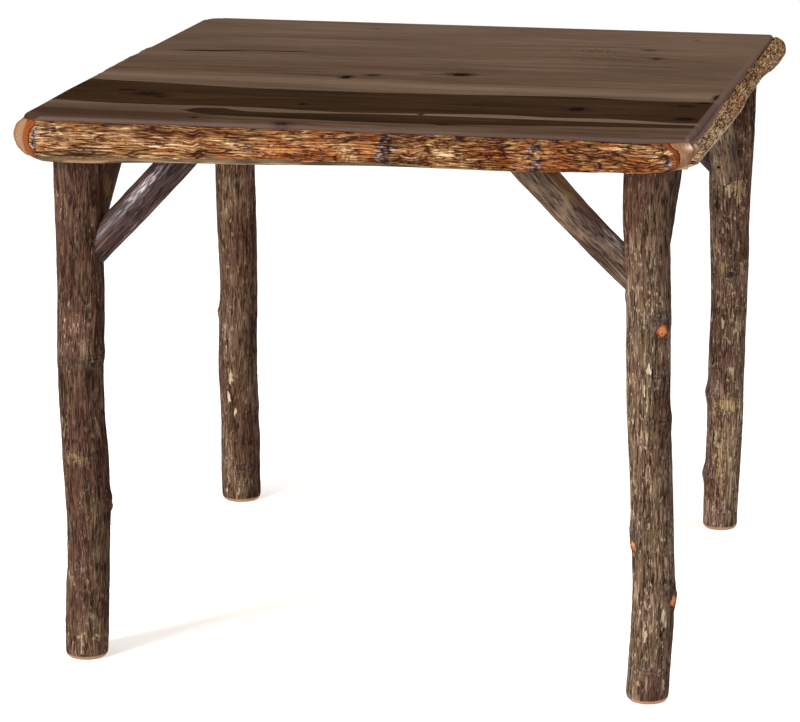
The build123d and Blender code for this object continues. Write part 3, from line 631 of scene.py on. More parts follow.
def make_brace(name):
    leg, along, sign, r_low, r_high, bow, side_low, side_high, lift_low, lift_high = BRACES[name]
    seed, tone0, lumps = BRACE_LOOK[name]
    z_low = Z_FRAME - BRACE_RISE
    rows = np.array(LEGS[leg], float)
    lx, ly = (float(np.interp(z_low + 30, rows[:, 0], rows[:, i])) for i in (1, 2))
    ux, uy = (sign, 0) if along == "x" else (0, sign)
    rise = math.hypot(BRACE_RISE, BRACE_REACH)
    du, zu = BRACE_REACH / rise, BRACE_RISE / rise
    ks = [-0.06, 0.22, 0.5, 0.78, 1.2]
    swells = [math.sin(math.pi * min(max(k, 0), 1)) for k in ks]
    lifts = [lift_low + (lift_high - lift_low) * k - 2.2 * w for k, w in zip(ks, swells)]
    ds = [BRACE_REACH * k - zu * w for k, w in zip(ks, lifts)]
    zs = [z_low + BRACE_RISE * k + du * w for k, w in zip(ks, lifts)]
    ss = [bow * w + side_low + (side_high - side_low) * k for k, w in zip(ks, swells)]
    rs = [r_low + (r_high - r_low) * k - 0.5 * w for k, w in zip(ks, swells)]
    direction = np.array([ux * du, uy * du, zu])
    side = np.array([1.0, 0, 0]) if along == "y" else np.array([0, 1.0, 0])
    across = np.cross(direction, side)
    npj, nsi = 144, 150
    phi = np.arange(npj) * TAU / npj
    ring = np.cos(phi)[:, None] * side + np.sin(phi)[:, None] * across

    def line(k):
        d, z, s = spline(ks, ds, k), spline(ks, zs, k), spline(ks, ss, k)
        return np.stack([lx + ux * d + (0 if ux else 1) * s, ly + uy * d + (0 if uy else 1) * s, z], -1)

    kk = np.linspace(-0.06, 1.2, 900)
    axis_pts, radius = line(kk), spline(ks, rs, kk)
    k_top, k_bot = np.zeros(npj), np.zeros(npj)
    for j in range(npj):
        g = axis_pts + radius[:, None] * ring[j]
        k_top[j] = np.interp(Z_FRAME, g[:, 2], kk)
        ax, ay, ar = axis_at(LEGS[leg], g[:, 2])
        gap = np.hypot(g[:, 0] - ax, g[:, 1] - ay) - (ar - 3.0)
        past = (g[:, 0] - lx) * ux + (g[:, 1] - ly) * uy < 10.0
        inside = np.nonzero((gap < 0) | past)[0]
        k_bot[j] = kk[inside[-1]] if len(inside) else kk[0]
    t = np.linspace(0, 1, nsi)
    k = k_bot[None] + (k_top - k_bot)[None] * t[:, None]
    base = line(k) + spline(ks, rs, k)[..., None] * ring[None]
    length = 232.0
    s = k * length
    girth = TAU * 21.0
    c = np.broadcast_to(phi[None] * 21.0, s.shape)
    # thin tight bark: long shallow streaks, a few open cracks
    w = field(c, s, girth, 22.0, 90.0, seed + 1) * 2.6
    n1 = field(c + w, s, girth, 3.9, 60.0, seed + 2)
    n2 = field(c + w, s, girth, 2.3, 30.0, seed + 3)
    crack = (1 - smooth(0.0, 0.16, np.abs(n1))) * smooth(-0.35, 0.4, field(c, s, girth, 18.0, 70.0, seed + 4))
    rough, deep, own = strands(c, s, girth, 3.4, 26.0, seed + 9)
    much = smooth(0.3, 0.9, tone0 + 0.5 * field(c, s, girth, 40.0, 80.0, seed + 5))
    h = 0.64 + 0.26 * n1 + 0.20 * n2 - 0.46 * crack
    h = h * (1 - 0.65 * much) + 0.65 * much * rough
    disp = (h - 0.6) * (0.9 + 0.9 * much) + 0.2 + 0.7 * field(c, s, girth, 44.0, 60.0, seed + 6) \
        + 0.3 * field(c, s, girth, 14.0, 22.0, seed + 7)
    for t0, a0, size, amp in lumps:
        d = np.hypot((t[:, None] - t0) * 215.0, wrap(phi[None] - math.radians(a0)) * 21.0)
        disp = disp + amp * gauss(d / size)
    pts = base + disp[..., None] * ring[None]
    # countersunk nail holes, open towards the outside
    # mask of the nail holes, painted dark as shade in the recess
    nail_hole_shade = np.zeros_like(h)
    low_z = z_low + (27 if along == "x" else 35) + lift_low / du
    low_d = (27 if along == "x" else 35) * BRACE_REACH / BRACE_RISE + 23.0
    high_d = BRACE_REACH - 14.0 - lift_high / zu
    low_side = side_low + NAIL_SIDE.get(name, 0.0)
    for tip, way in (((lx + ux * low_d + abs(uy) * low_side, ly + uy * low_d + abs(ux) * low_side, low_z), (-ux, -uy, 0)),
                     ((lx + ux * high_d + abs(uy) * side_high, ly + uy * high_d + abs(ux) * side_high,
                       Z_FRAME + 13.0 - 52.0), (0, 0, 1))):
        q = pts - np.array(tip)
        out = -(q @ np.array(way, float))
        perp = np.linalg.norm(q + out[..., None] * np.array(way, float), axis=-1)
        reach = np.where((out > 0) & (perp < 4.0), 1 - smooth(1.9, 2.7, perp), 0)
        nail_hole_shade = np.maximum(nail_hole_shade, reach)
        pts = pts + (np.minimum(out + 0.2, 9.0) * reach)[..., None] * np.array(way, float)
    pts[..., 2] = np.minimum(pts[..., 2], Z_FRAME)
    pts[-1, :, 2] = Z_FRAME
    tone = np.clip(tone0 + 0.35 * field(c, s, girth, 40.0, 90.0, seed + 8), 0, 1)
    # painted highlight streaks, along the side of the brace that faces the lights
    a0, wide, t0, half_t, much_shine = BRACE_SHINE.get(name, (90.0, 12.0, 0.5, 0.3, 0.25))
    shine = gauss(wrap(phi[None] - math.radians(a0)) / math.radians(wide)) * gauss((t[:, None] - t0) / half_t) * much_shine
    shine = shine * smooth(0.0, 0.45, 0.2 + field(c + w, s, girth, 2.4, 13.0, seed + 12) + 0.5 * field(c, s, girth, 6.0, 30.0, seed + 13))
    # light: a random tone plus the brace's painted light and shade
    return tube(name + "_bark", pts, {"relief": np.clip(h, 0, 1.2), "tone": tone, "nail_hole_shade": nail_hole_shade, "shine": shine,
                                     "light": 0.5 * field(c, s, girth, 26.0, 70.0, seed + 10) + BRACE_LIGHT.get(name, 0.0), "lengthwise": s + seed,
                                     "girth_a": np.cos(phi)[None] * 21.0, "girth_b": np.sin(phi)[None] * 21.0}, columns=1)


# ================================================================ edge rails
# per rail: seed, bark strand width, length and height, colour stations (position, orange, grey, light, the last partly
# tone and partly painted light and shade), nodes (position, half length, strength), inner bark thickness at the two
# ends (low, high position), where the bark stops above the knifed lower edge (position, fraction of the way down the
# section)
RAIL_LOOK = {
    "edge_rail_front": dict(
        seed=610, width=3.9, length=66.0, rough=2.2, thick=(40.0, 40.0), step=620,
        stations=[(-460, 0.36, 0.26, 0.08), (-400, 0.34, 0.20, 0.16), (-330, 0.38, 0.14, 0.00), (-260, 0.44, 0.15, -0.13),
                  (-205, 0.44, 0.20, -0.07), (-190, 0.30, 0.45, -0.10), (-165, 0.40, 0.25, -0.02), (-110, 0.62, 0.08, 0.02),
                  (-20, 0.82, 0.0, 0.0), (30, 0.70, 0.10, -0.04), (66, 0.40, 0.40, -0.11), (120, 0.34, 0.48, -0.17),
                  (165, 0.45, 0.32, -0.20), (220, 0.62, 0.12, -0.19), (290, 0.58, 0.14, -0.17), (400, 0.62, 0.10, -0.13),
                  (460, 0.72, 0.04, -0.10)],
        nodes=[(-418.0, 7.0, 0.8), (-192.0, 5.0, 0.4), (53.0, 13.0, 1.0), (99.0, 10.0, 0.35), (246.0, 15.0, 0.75), (266.0, 8.0, 0.4)],
        edge=[(-480, 0.80), (-395, 0.785), (-300, 0.79), (-210, 0.795), (-180, 0.76), (-120, 0.755), (0, 0.775), (60, 0.79), (110, 0.87), (200, 0.93), (480, 0.96)]),
    "edge_rail_right": dict(
        seed=620, width=3.3, length=34.0, rough=2.0, thick=(4000.0, 60.0), step=680,
        stations=[(-460, 0.20, 0.45, 0.26), (-300, 0.15, 0.50, 0.24), (-160, 0.45, 0.30, 0.00), (0, 0.50, 0.25, -0.06),
                  (150, 0.40, 0.35, -0.06), (300, 0.42, 0.30, -0.04), (460, 0.45, 0.25, -0.02)],
        nodes=[(-60.0, 10.0, 0.3), (246.0, 10.0, 0.35)],
        edge=[(-480, 0.79), (-436, 0.76), (-412, 0.565), (-340, 0.525), (-200, 0.535), (0, 0.575), (200, 0.60), (300, 0.70), (480, 0.74)], finer=(1.1, 1.05)),
    "edge_rail_back": dict(
        seed=630, width=3.9, length=52.0, rough=2.4, thick=(6.0, 7.0), step=560,
        stations=[(-460, 0.55, 0.15, 0.08), (-250, 0.70, 0.05, 0.06), (-60, 0.45, 0.30, -0.04), (120, 0.75, 0.05, 0.0),
                  (300, 0.50, 0.25, -0.06), (460, 0.60, 0.15, 0.0)],
        nodes=[(-182.0, 8.0, 0.8), (96.0, 8.0, 0.5), (318.0, 10.0, 0.9)],
        edge=[(-480, 0.84), (0, 0.88), (480, 0.86)]),
    "edge_rail_left": dict(
        seed=640, width=3.7, length=40.0, rough=2.1, thick=(2.2, 7.0), step=580,
        stations=[(-460, 0.45, 0.30, 0.06), (-250, 0.30, 0.45, 0.0), (0, 0.55, 0.20, -0.04), (200, 0.65, 0.10, 0.0),
                  (460, 0.50, 0.20, 0.02)],
        nodes=[(-120.0, 8.0, 0.6), (150.0, 10.0, 0.9), (350.0, 8.0, 0.5)],
        edge=[(-480, 0.82), (0, 0.87), (480, 0.84)]),
}
# where the bark of the front rail was knifed away towards the right corner: height, x
BARK_END = [(708.0, -415.4), (716.0, -422.6), (722.5, -425.4), (732.0, -425.4), (739.5, -424.0), (746.0, -418.0), (752.0, -411.0)]
PEEL = [(712.0, 396.0), (716.5, 413.5), (720.1, 423.5), (726.0, 428.4), (733.7, 428.9), (740.7, 425.7), (747.2, 418.0), (751.1, 408.0),
        (753.1, 405.0), (757.0, 400.0)]
SAPWOOD = [(712.0, 402.0), (715.5, 418.5), (721.0, 429.8), (728.8, 434.7), (736.5, 437.2), (743.5, 436.6), (750.1, 432.0), (754.0, 419.0),
           (757.0, 412.0)]


def make_rail(name):
    look = RAIL_LOOK[name]
    seed = look["seed"]
    rows = np.array(RAILS[name], float)
    side = name.rsplit("_", 1)[1]
    ox, oy = {"front": (0, -1), "back": (0, 1), "left": (-1, 0), "right": (1, 0)}[side]
    nu, na, ni = look["step"], 108, 10
    ends = 1 - np.array([0.0, 0.35, 0.75, 1.2]) / 452.0
    u = np.concatenate([-ends, np.linspace(-1, 1, nu)[2:-2], ends[::-1]])
    nu = len(u)
    a = np.linspace(0, 1, na)
    uu, aa = np.meshgrid(u, a, indexing="ij")
    pos = uu * 455.0
    for _ in range(3):
        zb, zt, s = (spline(rows[:, 0], rows[:, i], pos) for i in (1, 2, 3))
        chord = zt - zb
        radius = (chord ** 2 / 4 + s ** 2) / (2 * s)
        half = np.arctan2(chord / 2, radius - s)
        ang = half * (1 - 2 * aa)
        out = radius * np.cos(ang) + s - radius
        zz = (zt + zb) / 2 + radius * np.sin(ang)
        pos = uu * (HALF + out)
    arc = radius * 2 * half * aa                       # mm down the section from the top edge
    front = side == "front"
    bend = arc.copy()                                  # the strands wander where branches once stood
    if front:
        bend += 2.2 * np.sin((pos - 99) / 7.5) * gauss((pos - 96) / 20) + 1.6 * np.sin(pos / 13.0) * smooth(265, 300, pos)
        bend += 2.4 * np.tanh((pos + 196) / 3.0) * gauss((pos + 196) / 16)
    along = pos + (0.8 * np.maximum(pos - 70.0, 0.0) if front else 0.0)    # shorter strands towards the right
    h, deep, own, across = bark(bend, along, 0, look["width"], look["length"], seed, 0.45, 0.6)
    if front:                                          # short ribs across the lower half, left of the big node
        comb = smooth(-135, -95, pos) * smooth(45, 25, pos) * smooth(0.42, 0.58, aa) \
            * smooth(-0.5, 0.3, field(arc, pos, 0, 30.0, 34.0, seed + 90))
        ribs = field(arc, pos + 0.35 * arc, 0, 13.0, 3.6, seed + 91)
        h = h * (1 - 0.55 * comb) + 0.55 * comb * (0.62 + 0.55 * ribs)
    node = np.zeros_like(h)
    for p0, hl, amp in look["nodes"]:
        lean = 3.0 * np.sin(arc * 0.12 + p0)
        patchy = 0.75 + 0.75 * field(arc, pos, 0, 9.0, 7.0, seed + 32)
        node = np.maximum(node, amp * gauss((pos - p0 + lean) / hl) * patchy * smooth(0.0, 0.12, aa) * (1 - smooth(0.84, 0.95, aa)))
    if front:
        for p0, a0, hl, ha, amp in ((330.0, 0.66, 9.0, 0.06, 0.8), (318.0, 0.84, 14.0, 0.06, 0.7), (352.0, 0.80, 9.0, 0.05, 0.7),
                                    (417.0, 0.58, 8.5, 0.26, 0.8), (135.0, 0.82, 22.0, 0.06, 0.45), (-268.0, 0.86, 16.0, 0.04, 0.5)):
            node = np.maximum(node, amp * gauss(np.hypot((pos - p0) / hl, (aa - a0) / ha)))
    wr = field(arc, pos, 0, 8.0, 6.5, seed + 30)
    wr2 = field(arc, pos, 0, 3.6, 4.2, seed + 31)
    h = h * (1 - 0.7 * node) + node * (0.42 + 0.50 * wr + 0.36 * wr2)
    # sawn and knifed lower edge: bark gone, a flat facet of bare wood with a ragged upper limit
    rag = field(arc, pos, 0, 60.0, 26.0, seed + 41) * 0.03 + field(arc, pos, 0, 40.0, 9.0, seed + 42) * 0.022 \
        + field(arc, pos, 0, 30.0, 3.6, seed + 43) * 0.010
    edge0 = np.interp(pos, [e[0] for e in look["edge"]], [e[1] for e in look["edge"]])
    band = smooth(edge0 - 0.010, edge0 + 0.010, aa + rag)
    a_cut = 0.79
    i_cut = int(a_cut * (na - 1))
    f = np.clip((aa - a[i_cut]) / (1 - a[i_cut]), 0, 1)
    facet_out = out[:, i_cut:i_cut + 1] * (1 - f) + out[:, -1:] * f
    facet_z = zz[:, i_cut:i_cut + 1] * (1 - f) + zz[:, -1:] * f
    lower = aa > a[i_cut]
    keep = 0.35 + 0.65 * (smooth(-50, 120, pos) if front else 0.6)
    out = np.where(lower, facet_out + keep * (out - facet_out), out)
    zz = np.where(lower, facet_z + keep * (zz - facet_z), zz)
    fade = smooth(0.0, 2.4, arc)
    lump = 0.9 * field(arc, pos, 0, 34.0, 70.0, seed + 20) + 0.4 * field(arc, pos, 0, 14.0, 26.0, seed + 21)
    disp = ((h - 0.62) * look["rough"] + 0.4 + lump + 1.7 * node) * fade * (1 - band)
    if side == "left":
        disp = disp * (1 - 0.9 * smooth(-300, -390, pos) * smooth(0.40, 0.15, aa)) - 1.6 * smooth(-300, -400, pos) * gauss((arc - 6.0) / 7.0)
    bare = np.zeros_like(h)
    if front:
        stop = np.interp(zz, [q[0] for q in PEEL], [q[1] for q in PEEL])
        over = np.maximum(pos - stop + 0.8 * field(arc, pos, 0, 5.0, 9.0, seed + 81), 0)
        wide_in = np.maximum(np.interp(zz, [q[0] for q in SAPWOOD], [q[1] for q in SAPWOOD]) - stop, 3.0)
        bare = over / wide_in * (aa < 0.985)
        disp = disp * (1 - smooth(0, 4, over)) - 4.2 * smooth(0, 10, over) * np.clip(out / 8.0, 0, 1)
    if side == "right":
        disp = disp - 2.4 * smooth(-20, 50, pos) * smooth(290, 210, pos) * fade
        disp = disp * (1 - 0.85 * smooth(8.0, 6.0, arc) * smooth(20, -200, pos))
    disp += -0.9 * (1 - smooth(0.0, 2.0, arc)) * smooth(0, 0.4, arc)
    disp += band * (-0.5 + 0.22 * field(arc, pos, 0, 2.6, 40.0, seed + 50)) * smooth(1.0, 0.97, aa)
    for p0 in RAIL_NAILS:                               # the bark closes over each sunk nail
        d = np.hypot(pos - p0, (zz - RAIL_NAIL_Z) * 1.1)
        disp += np.maximum(0, 11.8 - out - disp * np.cos(ang)) * gauss(d / 3.6) * 1.15
    out = out + disp * np.cos(ang)
    zz = zz + disp * np.sin(ang)
    out = np.maximum(out, 0.0)
    pos = uu * (HALF + out)
    if front:                                          # knifed a little higher here
        zz = zz + 1.5 * gauss((pos - 320) / 42) * smooth(0.72, 0.95, aa)
    if oy:
        x, y = pos.copy(), oy * (HALF + out)
    else:
        x, y = ox * (HALF + out), pos.copy()
    cut = np.zeros_like(out)
    grow = over * 0.8 if front else np.zeros_like(out)
    for corner_name, ((qx, qy), profile) in CORNERS.items():
        sx, sy = np.sign(qx), np.sign(qy)
        dx, dy = x - qx, y - qy
        rho = np.hypot(dx, dy)
        limit = spline([p[0] for p in profile], [p[1] for p in profile], zz)
        limit = np.where(zz < profile[0][0], profile[0][1], limit) + 0.12 * field(arc, pos, 0, 9.0, 9.0, seed + 60)
        if front and corner_name == "front_left":      # knobbly end of the bark, left standing a little proud
            end = np.interp(zz, [q[0] for q in BARK_END], [q[1] for q in BARK_END]) + 0.9 * field(arc, pos, 0, 4.0, 30.0, seed + 83)
            left = smooth(0.0, 2.0, x - end) * (aa > 0.03)
            limit = limit + left * np.maximum(0.3 + 1.7 * field(arc, pos, 0, 5.5, 6.5, seed + 84), 0)
        over = (dx * sx > 0) & (dy * sy > 0) & (rho > limit)
        depth = np.where(over, rho - limit, 0)
        k = np.where(over, limit / np.maximum(rho, 1e-6), 1)
        x, y = qx + dx * k, qy + dy * k
        t = look["thick"][1] if (qx if oy else qy) > 0 else look["thick"][0]
        worked = depth / t
        if front and corner_name == "front_left":
            worked = np.where(over, np.maximum(0.12 + (end - x) / 34.0, 0) * (x < end), worked)
            node = np.maximum(node, 0.75 * left * over)
            h = h - 0.22 * left * over
        if side == "left" and corner_name == "front_left":
            worked = np.where(over, 0.86 + depth / 11.0, 0)
        grow = np.maximum(grow, depth)
        cut = np.maximum(cut, worked)
    cut = np.maximum(cut, bare)
    mitre = 1 - smooth(0.2, 1.0, (1 - np.abs(uu)) * 452.0)
    x, y = x - 0.5 * mitre * np.sign(x), y - 0.5 * mitre * np.sign(y)
    st = np.array(look["stations"], float)
    orange, grey, light = (np.interp(pos, st[:, 0], st[:, i]) for i in (1, 2, 3))
    wide = field(arc, pos, 0, 26.0, 46.0, seed + 70)
    wide2 = field(arc, pos, 0, 9.0, 30.0, seed + 71)
    orange = np.clip(orange + 0.45 * wide + 0.30 * wide2 + 0.25 * (aa - 0.4), 0, 1)
    grey = np.clip(grey + 0.45 * field(arc, pos, 0, 22.0, 40.0, seed + 72) + 0.3 * wide2 - 0.1, 0, 1)
    # painted highlights: cream glints along one side of a plate, gated by the painted light, fewer towards the right of
    # the front rail
    glint = smooth(0.35, 0.9, own) * gauss((across + 0.14) / 0.20) * smooth(-0.2, 0.4, field(arc, pos, 0, 40.0, 60.0, seed + 74) + light)
    glint *= smooth(-0.25, 0.2, field(arc, pos, 0, 3.0, 7.0, seed + 75)) * (1 - band)
    if front:
        glint *= 1 - 0.65 * smooth(40, 90, pos)
    # random tone, and painted shade along the top edge, where the rail tucks under the planks
    light = light + 0.30 * field(arc, pos, 0, 16.0, 60.0, seed + 73) - 0.20 * (1 - smooth(1.0, 8.0, arc)) - 0.30 * (1 - smooth(2.0, 4.5, arc))
    stain_and_sheen = np.zeros_like(h)
    pale = np.zeros_like(h)
    if side == "right":
        # rounded over along with the planks and given their stain, more so towards the front; the strip's colour also
        # carries the planks' painted mauve sheen
        strip = 6.5 * smooth(20, -330, pos) + 0.8 * field(arc, pos, 0, 30.0, 12.0, seed + 95)
        stain_and_sheen = (1 - smooth(strip - 0.7, strip + 0.7, arc)) * smooth(20, -60, pos)
        start = np.interp(aa, [0.0, 0.12, 0.23, 0.36, 0.50, 0.60], [-418.0, -428.0, -438.0, -446.0, -454.0, -475.0])
        inwards = start + 0.8 * field(arc, pos, 0, 4.0, 9.0, seed + 96) - pos
        cut = np.maximum(cut, np.where(inwards > 0, 0.93 + inwards / 9.0, 0))
        grow = np.maximum(grow, np.maximum(inwards, 0))
        # painted glare: a pale patch on the sapwood at the top of the front right corner, where the finish would catch
        # the light
        pale = gauss(np.hypot((pos + 447) / 8.0, (aa - 0.17) / 0.09))
        light = light - 0.30 * smooth(-428, -440, pos)
    dusk = np.zeros_like(h)
    if front:
        # painted glare: a pale patch on the sapwood at the top of the front right corner, where the finish would catch
        # the light
        pale = gauss(np.hypot((pos - 447) / 7.0, (aa - 0.15) / 0.09))
        dusk = smooth(380, 400, pos)
    if side == "right":
        dusk = smooth(-380, -400, pos)
    if front:
        dim = gauss((pos + 360) / 48) * smooth(0.48, 0.62, aa)
        grey, light = np.clip(grey + 0.6 * dim, 0, 1), light - 0.30 * dim
    outer = np.stack([x, y, zz], -1)
    # flat inner face, from the bottom edge back up to the top edge
    v = (np.arange(1, ni + 1) / (ni + 1))[None, :]
    z_in = zz[:, -1:] * (1 - v) + zz[:, :1] * v
    reach_in = np.full_like(z_in, HALF)
    if side in ("front", "left"):                      # the heel of the front left mitre
        zb, zt, s = (spline(rows[:, 0], rows[:, i], -HALF) for i in (1, 2, 3))
        r_log = ((zt - zb) ** 2 / 4 + s ** 2) / (2 * s)
        belly = np.sqrt(np.maximum(r_log ** 2 - (z_in - (zt + zb) / 2) ** 2, 0)) - (r_log - s)
        heel = np.clip(belly, 0.0, HEEL) * smooth(Z_PANEL - 0.2, Z_PANEL - 2.0, z_in)
        at_heel = smooth(-HALF + HEEL + 1.0, -HALF + HEEL - 1.0, u[:, None] * HALF)
        reach_in = HALF - heel * at_heel
    p_in = u[:, None] * reach_in
    if oy:
        inner = np.stack([p_in, oy * reach_in, z_in], -1)
    else:
        inner = np.stack([ox * reach_in, p_in, z_in], -1)
    for (qx, qy), profile in CORNERS.values():
        sx, sy = np.sign(qx), np.sign(qy)
        dx, dy = inner[..., 0] - qx, inner[..., 1] - qy
        rho = np.hypot(dx, dy)
        limit = spline([p[0] for p in profile], [p[1] for p in profile], np.maximum(inner[..., 2], profile[0][0])) - 0.8
        over = (dx * sx > 0) & (dy * sy > 0) & (rho > limit)
        k = np.where(over, limit / np.maximum(rho, 1e-6), 1)
        inner[..., 0], inner[..., 1] = qx + dx * k, qy + dy * k
    pts = np.concatenate([outer, inner], 1)

    def pad(b, value):
        return np.concatenate([b, np.full((nu, ni), value)], 1)

    finer = look.get("finer", (1.0, 1.0))
    attrs = {"relief": pad(np.clip(h, -0.2, 1.3), 0.5), "furrow": pad(deep * (1 - band) * ((1 - 0.35 * smooth(60, 120, pos)) if front else 1.0), 0), "orange": pad(orange, 0.3),
             "grey": pad(grey, 0.2), "light": pad(light, 0.0), "node": pad(node, 0), "band": pad(band, 1.0),
             "cut": pad(cut, 0.0), "down": pad(aa, 1.0), "mitre": pad(mitre, 0.0), "glint": pad(glint, 0.0),
             "own": pad(own, 0.5), "end": pad(np.minimum((1 - np.abs(uu)) * 452.0, 60.0), 60.0), "lengthwise": pad(along * finer[0] + seed, seed),
             "sideways": pad(bend * finer[1], 0.0), "stain_and_sheen": pad(stain_and_sheen, 0.0), "pale": pad(pale, 0.0), "dusk": pad(dusk, 0.0), "grow": pad(grow, 0.0), "cream": pad(np.full_like(aa, 1.0 if side == "right" else 0.0), 0.0)}
    flat_cols = np.zeros(na + ni, bool)
    flat_cols[na - 1:] = True
    return tube(name + "_bark", pts, attrs, columns=3, flat_cols=flat_cols)


# ================================================================ plank top
HEART_1_BACK = [(-470, -158), (-430, -160), (-350, -170), (-277, -179), (-215, -191), (-120, -193), (-27, -192), (97, -186),
                (160, -179), (222, -172), (272, -171), (335, -184), (390, -182), (435, -179), (470, -178)]
HEART_1_FRONT = [(-470, -322), (-427, -329), (-385, -337), (-340, -343), (-277, -343), (-215, -337), (-152, -338), (-90, -346),
                 (-27, -352), (35, -347), (97, -337), (160, -327), (197, -327), (241, -334), (316, -327), (366, -335),
                 (410, -343), (441, -338), (470, -334)]
HEART_2_BACK = [(-232, -372), (-226, -358), (-215, -353), (-190, -351), (-172, -362), (-150, -370), (-115, -372), (-59, -366), (4, -357),
                (80, -353), (160, -352), (285, -355), (441, -355), (470, -355)]
HEART_2_FRONT = [(-232, -380), (-224, -389), (-204, -398), (-184, -403), (-115, -409), (-27, -415), (35, -415), (97, -411),
                 (110, -414), (119, -420), (128, -414), (140, -409), (222, -401), (285, -391), (347, -385), (441, -376), (470, -374)]
# knots: (x, y, half length, half width, darkness, grain push)
KNOTS = [(268.0, -265.0, 11.0, 13.0, 1.00, 17.0), (418.0, -310.0, 13.0, 12.0, 1.00, 12.0), (-90.0, -75.0, 6.5, 10.0, 1.00, 12.0),
         (-57.0, -52.0, 9.0, 6.5, 0.70, 9.0), (62.0, -22.0, 14.0, 10.0, 0.95, 14.0), (-95.0, -300.0, 5.0, 7.5, 0.90, 8.0),
         (135.0, -254.0, 9.0, 7.0, 0.40, 13.0), (-85.0, -445.0, 10.0, 8.0, 1.00, 8.0), (-207.0, -425.0, 4.0, 5.0, 0.75, 5.0),
         (405.0, -213.0, 13.0, 6.0, 0.85, 10.0), (426.0, -186.0, 9.0, 6.0, 1.00, 6.0), (436.0, -140.0, 3.5, 17.0, 0.85, 4.0),
         (-320.0, -262.0, 22.0, 13.0, 0.70, 30.0), (286.0, 248.0, 10.0, 5.0, 0.50, 8.0), (308.0, 172.0, 6.0, 9.0, 0.50, 8.0),
         (-355.0, -238.0, 15.0, 9.0, 0.60, 12.0), (341.0, 352.0, 5.0, 4.0, 0.30, 6.0), (-150.0, 372.0, 5.0, 4.0, 0.3, 9.0),
         (77.0, -346.0, 3.0, 5.0, 0.80, 3.0), (-296.0, -282.0, 9.0, 7.0, 0.60, 8.0)]


def lines_for(lo, hi, step, round_lo, round_hi):
    """Grid lines from lo to hi, closer together over a rounded edge."""
    out = []
    arc = np.sin(np.linspace(0, 1, 11) * math.pi / 2)
    a, b = lo + (TOP_ROUND if round_lo else 0), hi - (TOP_ROUND if round_hi else 0)
    if round_lo:
        out += list(lo + TOP_ROUND * (1 - arc[::-1]))[:-1]
    out += list(np.linspace(a, b, max(2, int(round((b - a) / step)) + 1)))
    if round_hi:
        out += list(hi - TOP_ROUND * (1 - arc))[1:]
    return np.array(out)


